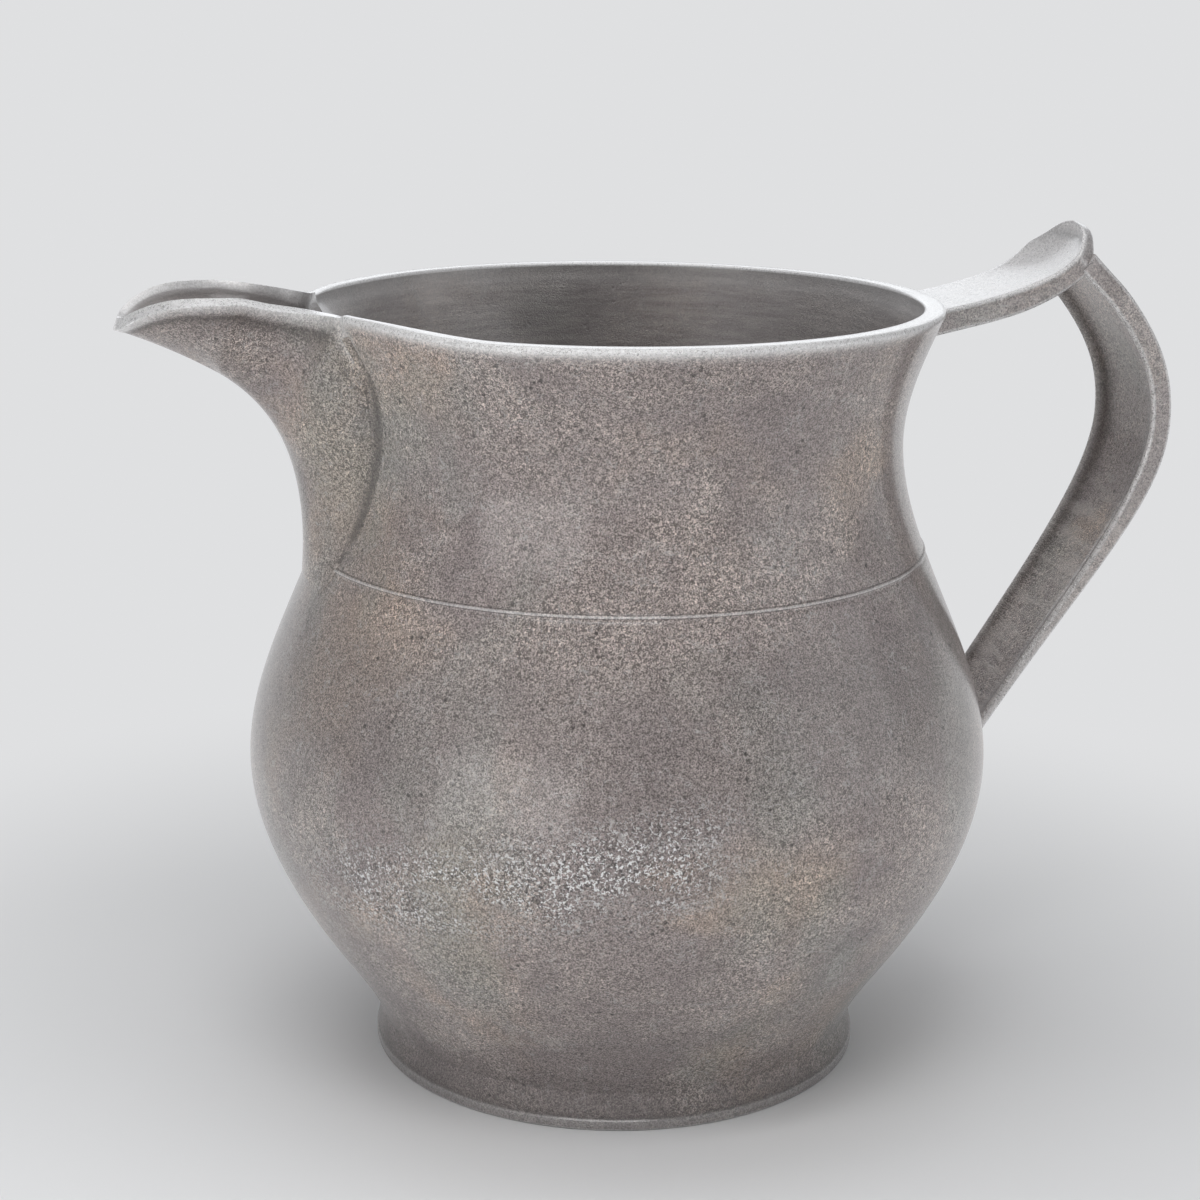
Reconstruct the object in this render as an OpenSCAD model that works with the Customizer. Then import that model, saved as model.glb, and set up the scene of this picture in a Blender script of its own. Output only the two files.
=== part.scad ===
// Open pewter pitcher: two body castings lapped and soldered at a seam, a soldered spout, foot and handle.
// Millimetres. The origin is the centre of the foot on the table, +Z is up, the spout points to -X and
// the handle to +X.

/* [Body outline] */
// Height of the rim above the table
rim_z = 152; // [147:1:158]
// Outer radius of the rim
rim_r = 62.6; // [60:0.2:66]
// Outward lean of the neck wall at the rim, run over rise
rim_lean = 0.45; // [0.3:0.05:0.6]
// Height of the narrowest part of the neck
waist_z = 126; // [121:1:131]
// Outer radius of the narrowest part of the neck
waist_r = 55.4; // [52:0.2:58]
// Height of the widest part of the belly
belly_z = 62; // [56:1:68]
// Outer radius of the widest part of the belly
belly_r = 73.8; // [70:0.2:78]
// Height of the flank, where the bowl leans out most
flank_z = 24; // [21:1:28]
// Outer radius of the flank
flank_r = 58.3; // [56:0.2:61]
// Outward lean of the flank, run over rise
flank_lean = 0.7; // [0.6:0.05:0.8]
// Height of the ankle, where the bowl stands on the foot
ankle_z = 7.5; // [6.5:0.5:9.5]
// Outer radius of the ankle
ankle_r = 48.5; // [46:0.5:51]
// Outward lean of the bowl at the ankle, run over rise
ankle_lean = 0.3; // [0.1:0.05:0.5]

/* [Walls and rim] */
// Thickness of the bowl and neck castings
wall = 2.6; // [2:0.1:3.2]
// Thickness of the lip at the rim, measured across
rim_t = 4.2; // [3.4:0.1:5]
// Depth below the rim over which the wall thickens
rim_depth = 16; // [10:1:20]
// Rounding of the outer edge of the rim
rim_round = 1.1; // [0.6:0.1:1.5]
// Rounding of the inner edge of the rim
rim_inner_round = 0.7; // [0.4:0.1:1]

/* [Seam] */
// Height of the soldered seam between bowl and neck
seam_z = 104.4; // [100:0.2:108]
// Height of the bowl's tongue inside the neck
lap_h = 4; // [3:0.5:6]
// Depth and half height of the solder groove
seam_groove = 0.8; // [0.6:0.1:1]
// How far the solder line stands proud
seam_bead = 0.35; // [0.2:0.05:0.6]

/* [Base and foot] */
// Largest radius of the foot, at its bottom lip
foot_r = 49.4; // [47.5:0.1:53]
// Height of the thin lip at the bottom of the foot
foot_lip_h = 2; // [1.6:0.1:2.6]
// How far that lip stands proud of the foot above it
foot_lip = 0.3; // [0.2:0.05:0.6]
// Rounding of the bottom edge of the foot
foot_round = 0.6; // [0.3:0.1:0.8]
// Width of the ring that the foot rests on
foot_t = 2.8; // [2.2:0.1:3.6]
// Width of the face on top of the foot
foot_seat = 4; // [3.2:0.1:5]
// Width of the bowl's bottom edge outside the floor
bowl_edge = 2.4; // [2:0.1:2.8]
// Width of the ledge that the floor is let in under
ledge_w = 3; // [2:0.2:4]
// Thickness of that ledge
ledge_t = 2; // [1.6:0.1:2.6]
// Thickness of the floor
floor_t = 2.4; // [1.8:0.1:3]
// Gap for solder round the floor
floor_gap = 0.15; // [0.1:0.05:0.25]
// Size of the solder fillets at the floor and the foot
base_fillet = 1.6; // [1:0.1:1.8]

/* [Spout] */
// Reach of the spout's tip from the axis
spout_reach = 96.8; // [92:0.2:104]
// Half width of the trough
nose_r = 15; // [13:0.2:17]
// Length of the rounded nose
nose_len = 20; // [16:0.5:22]
// Height of the underside of the tip below the rim
tip_drop = 2.7; // [1:0.1:4]
// Rise of the spout's lips above the rim
lip_rise = 4.2; // [2.5:0.1:6]
// How far the outer edge of the lips is rolled down
lip_roll = 1.3; // [0.6:0.1:1.6]
// Thickness of the spout
spout_t = 2.4; // [2:0.1:2.8]
// Height of the lowest point of the spout's root
spout_root_z = 96.5; // [93:0.5:100]
// Height of the rounded end of the root
root_round_h = 8.5; // [7:0.5:10]
// Half angle of the root above that rounded end
root_low_angle = 12.5; // [11:0.5:14]
// Half angle that the root would reach at the rim if it kept widening
root_top_angle = 25.5; // [24:0.5:27]
// Half angle at which the root runs in under the rim
root_rim_angle = 18.5; // [17.5:0.5:20]
// Width of neck left between the spout's root and the pouring opening, in degrees
opening_margin = 2.4; // [2:0.2:3.2]
// Lowest point of the pouring opening
opening_z = 110; // [108:0.5:116]
// Size of the solder fillet round the root
spout_fillet = 2.6; // [2:0.1:3.2]

/* [Handle] */
// Depth of the arm's middle below the rim where it meets the neck
arm_drop = 4.9; // [4.5:0.1:7]
// Distance of the thumb rest's tip from the axis
thumb_x = 96.9; // [95:0.1:100]
// Height of the thumb rest's tip above the rim
thumb_rise = 12.8; // [11:0.1:14]
// Width of the arm at the neck
arm_root_w = 24; // [20:0.5:27]
// Width of the thumb rest and of the top of the grip
thumb_w = 28.4; // [25:0.2:31]
// Thickness of the arm at the neck
arm_root_t = 4.6; // [4:0.1:5.2]
// Thickness of the thumb rest
thumb_t = 3.3; // [2.8:0.1:4]
// Thickness of the thumb rest's thin upturned tip
tip_t = 1.6; // [1.4:0.1:2.4]
// Depth of the hollow in the thumb rest
thumb_dish = 1.2; // [0.6:0.1:1.6]
// Size of the solder fillet round the arm's root
arm_fillet = 2; // [1.4:0.1:2.4]
// Distance of the outermost part of the grip from the axis, at its middle
grip_reach = 111.6; // [108:0.2:116]
// Height of that outermost part
grip_reach_z = 125; // [121:1:130]
// Height at which the middle of the grip lands on the belly
grip_foot_z = 57.7; // [54:0.1:62]
// Slope of the grip's lower run, in degrees from level
grip_slope = 56; // [52:1:60]
// Width of the grip where it lands
grip_foot_w = 20.7; // [17:0.1:24]
// Thickness of the grip in its upper half
grip_t = 4.5; // [3.6:0.1:5.2]
// Thickness of the grip where it lands
grip_foot_t = 2.2; // [2:0.1:3]
// Depth of the hollow along the inner face of the grip
grip_dish = 1; // [0.4:0.1:1.4]
// Rounding of the strap's edges
strap_round = 0.9; // [0.5:0.1:1]

/* [Hidden] */
$fn = 180;
pewter = "#867f79";
solder = "#a09b96";

// Number of straight steps in a curve of the given length, at about one step each 3.5 mm
function steps(length) = ceil(length / 3.5);
// n + 1 even values from a to b
function even(a, b, n) = [for (i = [0:n]) a + (b - a) * i / n];
// Smooth ramp from 0 at a to 1 at b
function ramp(x, a, b) = let (k = min(1, max(0, (x - a) / (b - a)))) k * k * (3 - 2 * k);
// Point on a cubic curve with four control points
function cubic(p, t) =
    pow(1 - t, 3) * p[0] + 3 * pow(1 - t, 2) * t * p[1] + 3 * (1 - t) * t * t * p[2] + pow(t, 3) * p[3];
function unit(v) = v / norm(v);

// Outline of the body: a smooth curve through stations of height, radius and lean
rim_edge_z = rim_z - rim_round;
stations = [[ankle_z, ankle_r, ankle_lean], [flank_z, flank_r, flank_lean], [belly_z, belly_r, 0],
            [waist_z, waist_r, 0], [rim_edge_z, rim_r, rim_lean]];
function span_of(z, i = 0) = i == len(stations) - 2 || z <= stations[i + 1][0] ? i : span_of(z, i + 1);
function outer_r(z) =
    let (i = span_of(z), a = stations[i], b = stations[i + 1], h = b[0] - a[0],
         t = min(1, max(0, (z - a[0]) / h)))
    a[1] + (b[1] - a[1]) * t * t * (3 - 2 * t) + h * t * (1 - t) * (a[2] * (1 - t) - b[2] * t);
function lean_at(z) = (outer_r(z + 0.1) - outer_r(z - 0.1)) / 0.2;
function wall_at(z) =
    let (k = ramp(z, rim_z - rim_depth, rim_z))
    wall * sqrt(1 + pow(lean_at(min(z, rim_edge_z - 0.1)), 2)) * (1 - k) + rim_t * k;
function inner_r(z) = outer_r(z) - wall_at(z);
function lap_r(z) = outer_r(z) - wall_at(z) / 2;

// Stretches of the body's outlines, each listed upwards
lap_top_z = seam_z + lap_h;
function outer_run(a, b) = [for (z = even(a, b, steps(b - a))) [outer_r(z), z]];
function inner_run(a, b) = [for (z = even(a, b, steps(b - a))) [inner_r(z), z]];
lap_run = [for (z = even(seam_z, lap_top_z, 2)) [lap_r(z), z]];
groove_bottom = [outer_r(seam_z) - seam_groove, seam_z];
bead_run = [for (k = even(-1, 1, 8))
    [outer_r(seam_z + k * seam_groove) + seam_bead * (1 - k * k), seam_z + k * seam_groove]];
rim_run = concat(
    [for (a = even(0, 90, 4)) [rim_r, rim_edge_z] + rim_round * [cos(a) - 1, sin(a)]],
    [for (a = even(90, 180, 4)) [rim_r - rim_t, rim_z - rim_inner_round]
        + rim_inner_round * [1 + cos(a), sin(a)]]);
function reversed(list) = [for (i = [len(list) - 1:-1:0]) list[i]];
function rest(list) = [for (i = [1:len(list) - 1]) list[i]];

// Levels and radii of the floor and the foot
floor_top_z = ankle_z + floor_t;
ledge_top_z = floor_top_z + ledge_t;
floor_r = ankle_r - bowl_edge;
ledge_r = floor_r - ledge_w;
foot_seat_r = ankle_r - foot_seat;
foot_inner_r = foot_r - foot_t;

// Everything inside the outer face of the soldered body, carried on upwards inside the rim
module body_blank() {
    rise = 40;
    rotate_extrude()
        polygon(concat([[0, ankle_z]], outer_run(ankle_z, seam_z - seam_groove), bead_run,
                       outer_run(seam_z + seam_groove, rim_edge_z),
                       [for (i = [1:4]) rim_run[i]],
                       [[rim_r - rim_round, rim_z + rise], [0, rim_z + rise]]));
}

module bowl() {
    color(pewter)
    rotate_extrude()
        polygon(concat(outer_run(ankle_z, seam_z - seam_groove), [groove_bottom], lap_run,
                       reversed(inner_run(ledge_top_z, lap_top_z)),
                       [[ledge_r, ledge_top_z], [ledge_r, floor_top_z],
                        [floor_r, floor_top_z], [floor_r, ankle_z]]));
}

module neck() {
    color(pewter)
    difference() {
        rotate_extrude()
            polygon(concat(outer_run(seam_z + seam_groove, rim_edge_z), rest(rim_run),
                           rest(reversed(inner_run(lap_top_z, rim_z - rim_inner_round))),
                           reversed(lap_run), [groove_bottom]));
        pouring_opening();
    }
}

module seam_solder() {
    color(solder)
    rotate_extrude()
        polygon(concat([groove_bottom], bead_run));
}

module bottom_disc() {
    color(pewter)
    translate([0, 0, ankle_z])
        cylinder(r = floor_r - floor_gap, h = floor_t);
}

module bottom_solder() {
    color(solder)
    rotate_extrude()
        polygon([[ledge_r, floor_top_z], [ledge_r, floor_top_z + base_fillet],
                 [ledge_r - base_fillet, floor_top_z]]);
}

module foot_ring() {
    shoulder_r = foot_r - foot_lip;
    flare = [for (z = even(ankle_z, foot_lip_h + foot_lip, 5))
        [ankle_r + (shoulder_r - ankle_r) * ramp(z, ankle_z, foot_lip_h + foot_lip), z]];
    edge = [for (a = even(0, -90, 4)) [foot_r - foot_round, foot_round] + foot_round * [cos(a), sin(a)]];
    color(pewter)
    rotate_extrude()
        polygon(concat(flare, [[foot_r, foot_lip_h]], edge, [[foot_inner_r, 0], [foot_seat_r, ankle_z]]));
}

module foot_solder() {
    lean = (foot_inner_r - foot_seat_r) / ankle_z;
    color(solder)
    rotate_extrude()
        polygon([[foot_seat_r, ankle_z], [foot_seat_r - base_fillet, ankle_z],
                 [foot_seat_r + lean * base_fillet, ankle_z - base_fillet]]);
}

// Solid through a list of rings that have equal numbers of points, closed at both ends or into a loop
function middle(ring) = [for (i = [0:len(ring) - 1]) 1] * ring / len(ring);
module loft(rings, loop = false) {
    n = len(rings[0]);
    rows = len(rings);
    last = loop ? rows - 1 : rows - 2;
    sides = [for (i = [0:last], j = [0:n - 1])
        let (a = i * n + j, b = i * n + (j + 1) % n,
             c = (i + 1) % rows * n + (j + 1) % n, d = (i + 1) % rows * n + j)
        each [[a, b, c], [a, c, d]]];
    first = rows * n;
    ends = loop ? [] : [for (j = [0:n - 1])
        each [[(j + 1) % n, j, first], [(rows - 1) * n + j, (rows - 1) * n + (j + 1) % n, first + 1]]];
    middles = loop ? [] : [middle(rings[0]), middle(rings[rows - 1])];
    polyhedron(concat([for (ring = rings) each ring], middles), concat(sides, ends));
}

// The spout's root on the body: half angle of the valley at a height
root_low_z = spout_root_z + root_round_h;
function root_angle(z) =
    z < root_low_z
    ? root_low_angle * sqrt(max(0, 1 - pow((root_low_z - z) / root_round_h, 2)))
    : root_low_angle + (root_top_angle - root_low_angle) * (z - root_low_z) / (rim_z - root_low_z)
      - (root_top_angle - root_rim_angle) * ramp(z, rim_z - 10, rim_z);
function face_r(z) =
    outer_r(z) - rim_round + sqrt(pow(rim_round, 2) - pow(min(rim_round, max(0, z - rim_edge_z)), 2));
function on_body(angle, z, sink = 0) =
    [-(face_r(z) - sink) * cos(angle), (face_r(z) - sink) * sin(angle), z];

// The keel, from the foot of the root to just past the tip
keel_start = [-outer_r(spout_root_z), spout_root_z];
keel_end = [-spout_reach, rim_z - tip_drop];
keel_curve = [keel_start, keel_start + [4, 39], keel_end + [20.3, -8.2], keel_end];
overrun = 3;
function keel(u) =
    u <= 1 ? cubic(keel_curve, u) : keel_end + unit(keel_end - keel_curve[2]) * overrun * (u - 1);
function keel_inward(u) = let (d = unit(keel(u + 0.01) - keel(u - 0.01))) [d[1], -d[0]];

// The lips, from the rim to just past the nose
nose_x = nose_len - spout_reach;
lip_z = rim_z + lip_rise;
lip_start = on_body(root_rim_angle, rim_z);
lip_end = [nose_x, nose_r, lip_z];
lip_curve = [lip_start, lip_start + [-2.7, -7, 0.6], lip_end + [10.3, -1.8, -0.4], lip_end];
function lip(v) =
    v <= 1 ? cubic(lip_curve, v) : lip_end + [-(nose_len + overrun) * (v - 1), 0, 0];
function lip_inward(v) = let (d = lip(v + 0.01) - lip(v - 0.01)) unit([-d[1], d[0], 0]);

// Ribs of the spout: each runs from the keel to the valley on the body or to the lip
root_share = 0.38;
nose_share = 0.66;
root_ribs = 13;
lip_ribs = 8;
nose_ribs = 7;
half_cols = 8;
function root_z(k) = spout_root_z + (rim_z - spout_root_z) * pow(k, 1.4);
// Each rib holds its keel point, its end point, its inward steps at both and its reach past the end
function root_rib(k) =
    let (z = root_z(k), u = root_share * k, p = on_body(root_angle(z), z, 0.15),
         c = keel(u), n = keel_inward(u))
    [[c[0], 0, c[1]], p, [n[0], 0, n[1]], [0.8, -min(0.8, p[1] / 8), 0], 1.22];
sunk_z = spout_root_z - 3;
sunk_end = on_body(2.5, sunk_z, 3.2);
ribs = concat(
    [[[sunk_end[0] - 0.6, 0, sunk_z], sunk_end, [1, 0, 0], [0.6, -0.2, 0], 1.22]],
    [for (i = [1:root_ribs]) root_rib(pow(i / root_ribs, 1.6))],
    [for (i = [1:lip_ribs]) let (k = i / lip_ribs, u = root_share + (nose_share - root_share) * k,
                                 c = keel(u), n = keel_inward(u))
        [[c[0], 0, c[1]], lip(k), [n[0], 0, n[1]], lip_inward(k), 1]],
    [for (i = [1:nose_ribs]) let (k = i / nose_ribs, u = nose_share + (2 - nose_share) * k * (0.4 + 0.6 * k),
                                  c = keel(u), n = keel_inward(u))
        [[c[0], 0, c[1]], lip(1 + k), [n[0], 0, n[1]], [0, -1, 0], 1]]);

// Point of a rib: s is -1 or 1 at its ends and 0 on the keel, depth is measured in from the outer face
function rib_point(rib, s, depth) =
    let (c = rib[0] + rib[2] * depth, e = rib[1] + rib[3] * depth,
         past = max(0, abs(s) - 1), k = min(1, s * s))
    [c[0] + (e[0] - c[0]) * (k + 2 * past), e[1] * s, c[2] + (e[2] - c[2]) * k - 5 * past];
// The lip's rolled top, from its outer to its inner edge: share of the thickness and drop from the crest
roll = [[0, lip_roll], [0.25, 0.35 * lip_roll], [0.6, 0], [0.85, 0.1 * lip_roll], [1, 0.4 * lip_roll]];
function rib_ring(rib) =
    let (reach = rib[4], cols = even(-reach, reach, 2 * half_cols),
         inner_cols = [for (i = [1:2 * half_cols - 1]) cols[i]], drop = reach > 1 ? 0 : 1)
    concat([for (s = inner_cols) rib_point(rib, s, 0)],
           [for (q = roll) rib_point(rib, reach, q[0] * spout_t) - [0, 0, drop * q[1]]],
           [for (s = reversed(inner_cols)) rib_point(rib, s, spout_t)],
           [for (q = reversed(roll)) rib_point(rib, -reach, q[0] * spout_t) - [0, 0, drop * q[1]]]);

// Trough of the spout with its nose rounded, before it is fitted to the body
module spout_blank() {
    intersection() {
        loft([for (rib = ribs) rib_ring(rib)]);
        linear_extrude(height = 2 * rim_z)
            polygon(concat([for (a = even(90, 270, 48))
                                [nose_x + nose_len * cos(a), (nose_r + 0.2) * sin(a)]],
                           [[nose_x, -rim_r], [0, -rim_r], [0, rim_r], [nose_x, rim_r]]));
    }
}

module spout() {
    color(pewter)
    difference() {
        spout_blank();
        body_blank();
    }
}

// Wedge cut from the neck behind the spout, narrowing downwards to a rounded end
module pouring_opening() {
    top_z = rim_z + 5;
    round_h = 9;
    function half(z) =
        (root_angle(min(z, rim_z)) - opening_margin)
        * (z < opening_z + round_h ? sqrt(max(0.02, 1 - pow((opening_z + round_h - z) / round_h, 2))) : 1);
    near = waist_r - 14;
    far = rim_r + 6;
    levels = concat(even(opening_z, opening_z + round_h, 5), even(opening_z + round_h + 5, rim_z, 8),
                    [top_z]);
    loft([for (z = levels)
        let (a = half(z))
        [[-near * cos(a), -near * sin(a), z], [-far * cos(a), -far * sin(a), z],
         [-far * cos(a), far * sin(a), z], [-near * cos(a), near * sin(a), z]]]);
}

// Solder in the valley round the spout's root: on the body, swelling a little, on the spout and sunk
module spout_solder() {
    sink = 0.25;
    swell = 0.2;
    top = 0.83;
    count = 12;
    foot_share = 0.1;
    function size(k) = spout_fillet * (1 - 0.6 * ramp(k, 0.6, top));
    // Direction out of the root across its edge, along the body and up
    function across(k) =
        let (p = root_z(k * 0.97), q = root_z(k * 1.03),
             d = unit([(root_angle(q) - root_angle(p)) * outer_r(q) * PI / 180, q - p]))
        [d[1], -d[0]];
    function section(k) =
        let (n = k > 0 ? across(k) : [0, -1], f = size(k), z = root_z(k),
             rib = root_rib(norm([k, foot_share])), angle = root_angle(z),
             a = on_body(angle + f * n[0] / outer_r(z) * 180 / PI, z + f * n[1], sink),
             y = max(0, outer_r(z) * sin(angle) - f * n[0]),
             b = rib_point(rib, y / rib[1][1], sink),
             c = on_body(angle, z, 2.5),
             m = (a + b) / 2)
        [a, m + unit(m - c) * swell, b, c];
    function mirrored(ring) = [for (q = ring) [q[0], -q[1], q[2]]];
    side = [for (i = [1:count]) section(top * pow(i / count, 1.6))];
    color(solder)
    difference() {
        loft(concat(reversed(side), [section(0)], [for (ring = side) mirrored(ring)]));
        body_blank();
        spout_blank();
    }
}

// Ring of a strap: rounded edges, a hollow along the face that its normal points out of
function strap_ring(at, normal, w, t, dish) =
    let (r = min(strap_round, t / 2 - 0.05), half = w / 2, flat = half - r, top = t / 2,
         soft = r * (1 - cos(45)))
    [for (q = concat(
        [for (v = even(-flat, flat, 8)) [v, top - dish * (1 - pow(v / flat, 2))]],
        [[half - soft, top - soft], [half, top - r], [half, r - top], [half - soft, soft - top]],
        [for (v = even(flat, -flat, 4)) [v, -top]],
        [[soft - half, soft - top], [-half, r - top], [-half, top - r], [soft - half, top - soft]]))
        [at[0] + normal[0] * q[1], q[0], at[1] + normal[1] * q[1]]];

// The arm's middle line, from inside the neck to the thumb rest's tip
arm_start = [outer_r(rim_z - arm_drop), rim_z - arm_drop];
arm_end = [thumb_x, rim_z + thumb_rise];
arm_curve = [arm_start, arm_start + [18.5, 3.6], arm_end + [-4.1, -12.5], arm_end];
arm_sink = 7;
function arm_mid(t) =
    t >= 0 ? cubic(arm_curve, t) : arm_start + unit(arm_curve[1] - arm_start) * arm_sink * t;
function arm_normal(t) = let (d = unit(arm_mid(t + 0.005) - arm_mid(t - 0.005))) [-d[1], d[0]];
thumb_from = 0.74;
function arm_w(t) =
    (arm_root_w + (thumb_w - arm_root_w) * ramp(t, 0, thumb_from))
    * (let (k = max(0, (t - thumb_from) / (1 - thumb_from))) 1 - 0.76 * k * k - 0.18 * pow(k, 10));
function arm_t(t) =
    arm_root_t + (thumb_t - arm_root_t) * ramp(t, 0, 0.7) + (tip_t - thumb_t) * ramp(t, 0.75, 1);
function arm_dish(t) = thumb_dish * ramp(t, 0.35, 0.85) * (1 - ramp(t, 0.9, 1));
arm_steps = concat([-1], even(0, thumb_from, 12), rest(even(thumb_from, 1, 14)));

module arm_blank() {
    loft([for (t = arm_steps) strap_ring(arm_mid(t), arm_normal(t), arm_w(t), arm_t(t), arm_dish(t))]);
}

module handle_arm() {
    color(pewter)
    difference() {
        arm_blank();
        body_blank();
    }
}

// Solder round the arm's root: on the neck, on the arm and sunk in the corner
module arm_solder() {
    root = strap_ring([0, 0], [0, 1], arm_root_w, arm_root_t, 0);
    n = len(root);
    d = unit(arm_curve[1] - arm_start);
    rise = d[1] / d[0];
    function seat(y, h, sink) =
        let (z = min(arm_start[1] + h, rim_edge_z), x = sqrt(pow(outer_r(z) - sink, 2) - y * y))
        [x, y, arm_start[1] + h + rise * (x - arm_start[0])];
    function section(j) =
        let (p = root[j], q = root[(j + 1) % n] - root[(j + n - 1) % n], out = unit([-q[2], q[1]]),
             y = p[1], h = p[2],
             a = seat(y + arm_fillet * out[0], h + arm_fillet * out[1], 0.3),
             b = seat(y - 0.3 * out[0], h - 0.3 * out[1], 0) + arm_fillet * [d[0], 0, d[1]],
             c = seat(y - 0.3 * out[0], h - 0.3 * out[1], 2.5))
        [a, c, b];
    color(solder)
    difference() {
        loft([for (j = [0:n - 1]) section(j)], loop = true);
        body_blank();
        arm_blank();
    }
}

// The grip's middle line, from inside the arm over its outermost point to the belly
grip_start = arm_mid(0.8);
grip_out = [grip_reach, grip_reach_z];
grip_land = [outer_r(grip_foot_z) - 1.1, grip_foot_z];
grip_dir = [cos(grip_slope), sin(grip_slope)];
grip_upper = [grip_start, grip_start + [15.4, -15.2], grip_out + [0, 9.8], grip_out];
grip_lower = [grip_out, grip_out - [0, 16], grip_land + 41 * grip_dir, grip_land];
grip_sink = 7;
function grip_mid(t) =
    t <= 1 ? cubic(grip_upper, t)
    : t <= 2 ? cubic(grip_lower, t - 1) : grip_land - grip_dir * grip_sink * (t - 2);
function grip_normal(t) = let (d = unit(grip_mid(t + 0.005) - grip_mid(t - 0.005))) [d[1], -d[0]];
function grip_share(t) = min(1, (grip_start[1] - grip_mid(t)[1]) / (grip_start[1] - grip_foot_z));
function grip_w(t) = thumb_w + (grip_foot_w - thumb_w) * grip_share(t);
function grip_thick(t) = grip_t + (grip_foot_t - grip_t) * ramp(t, 1.1, 1.9);
grip_steps = concat(even(0, 1, 12), even(1 + 1 / 16, 2, 15), [3]);

module handle_grip() {
    arm_under = [for (t = arm_steps) arm_mid(t) - arm_normal(t) * arm_t(t) / 2];
    above = rim_z + 60;
    color(pewter)
    difference() {
        loft([for (t = grip_steps)
            strap_ring(grip_mid(t), grip_normal(t), grip_w(t), grip_thick(t), grip_dish)]);
        rotate([90, 0, 0])
            linear_extrude(height = 2 * thumb_w, center = true)
                polygon(concat(arm_under, [[thumb_x + 2, above], [0, above]]));
        body_blank();
    }
}

bowl();
neck();
seam_solder();
spout();
spout_solder();
handle_arm();
arm_solder();
handle_grip();
foot_ring();
bottom_disc();
bottom_solder();
foot_solder();
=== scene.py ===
# %% [markdown]
# This lesson dresses an open pewter pitcher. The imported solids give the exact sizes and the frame:
# metres, with the origin at the centre of the foot, +Z up, the spout towards -X and the handle towards
# +X. The scene adds what a solid can't show: softly filed joints, worn edges and the grain of old pewter.

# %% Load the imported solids
import bpy
import bmesh
from math import sin, cos, pi, radians, degrees, sqrt, hypot, ceil
from mathutils import Vector, Matrix
from mathutils.kdtree import KDTree


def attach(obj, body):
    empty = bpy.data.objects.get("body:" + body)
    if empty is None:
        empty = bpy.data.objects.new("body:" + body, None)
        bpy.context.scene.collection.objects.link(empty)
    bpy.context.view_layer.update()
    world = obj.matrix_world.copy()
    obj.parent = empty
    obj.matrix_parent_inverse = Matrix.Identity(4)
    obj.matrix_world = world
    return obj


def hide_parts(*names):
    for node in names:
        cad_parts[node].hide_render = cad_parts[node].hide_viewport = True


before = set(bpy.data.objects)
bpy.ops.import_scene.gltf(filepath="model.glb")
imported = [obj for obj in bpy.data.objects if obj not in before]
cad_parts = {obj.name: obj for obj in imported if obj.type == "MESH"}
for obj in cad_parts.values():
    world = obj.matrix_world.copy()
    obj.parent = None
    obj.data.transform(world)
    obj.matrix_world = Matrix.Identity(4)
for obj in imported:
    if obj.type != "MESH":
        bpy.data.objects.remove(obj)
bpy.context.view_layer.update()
print("solids:", sorted(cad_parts))

# %% [markdown]
# The outline of the body is one smooth line from the ankle over the belly and the waist to the rim. It
# could be traced point by point, but five stations of height, radius and lean with a cubic between each
# pair give the same line with few numbers, and the wall's inside follows from its thickness. All sizes
# are in millimetres, and MM turns them into the metres of a mesh.

# %% Outline of the body
MM = 0.001
RIM_Z, RIM_R, RIM_LEAN, RIM_ROUND = 152, 62.6, 0.45, 1.1
RIM_EDGE_Z = RIM_Z - RIM_ROUND
ANKLE_Z, ANKLE_R, ANKLE_LEAN = 7.5, 48.5, 0.3
FLANK_Z, FLANK_R, FLANK_LEAN = 24, 58.3, 0.7
BELLY_Z, BELLY_R = 62, 73.8
WAIST_Z, WAIST_R = 126, 55.4
STATIONS = [
    (ANKLE_Z, ANKLE_R, ANKLE_LEAN), (FLANK_Z, FLANK_R, FLANK_LEAN), (BELLY_Z, BELLY_R, 0),
    (WAIST_Z, WAIST_R, 0), (RIM_EDGE_Z, RIM_R, RIM_LEAN)]
WALL, RIM_T, RIM_DEPTH = 2.6, 4.2, 16
LEAN_STEP = 0.1


def even(a, b, n):
    return [a + (b - a) * i / n for i in range(n + 1)]


def ramp(x, a, b):
    k = min(1, max(0, (x - a) / (b - a)))
    return k * k * (3 - 2 * k)


def outer_r(z):
    i = 0
    while i < len(STATIONS) - 2 and z > STATIONS[i + 1][0]:
        i += 1
    (za, ra, la), (zb, rb, lb) = STATIONS[i], STATIONS[i + 1]
    h = zb - za
    t = min(1, max(0, (z - za) / h))
    return ra + (rb - ra) * t * t * (3 - 2 * t) + h * t * (1 - t) * (la * (1 - t) - lb * t)


def lean_at(z):
    return (outer_r(z + LEAN_STEP) - outer_r(z - LEAN_STEP)) / (2 * LEAN_STEP)


# Thickness of the wall, measured level: it grows to RIM_T over the last RIM_DEPTH under the rim
def wall_at(z):
    k = ramp(z, RIM_Z - RIM_DEPTH, RIM_Z)
    return WALL * sqrt(1 + lean_at(min(z, RIM_EDGE_Z - LEAN_STEP)) ** 2) * (1 - k) + RIM_T * k


def outer_run(a, b, step=1.0):
    return [(outer_r(z), z) for z in even(a, b, ceil((b - a) / step))]


def inner_run(a, b, step=1.2):
    return [(outer_r(z) - wall_at(z), z) for z in even(a, b, ceil((b - a) / step))]


print("wall at belly, waist and rim in mm:", [round(wall_at(z), 1) for z in (BELLY_Z, WAIST_Z, RIM_Z)])

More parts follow.
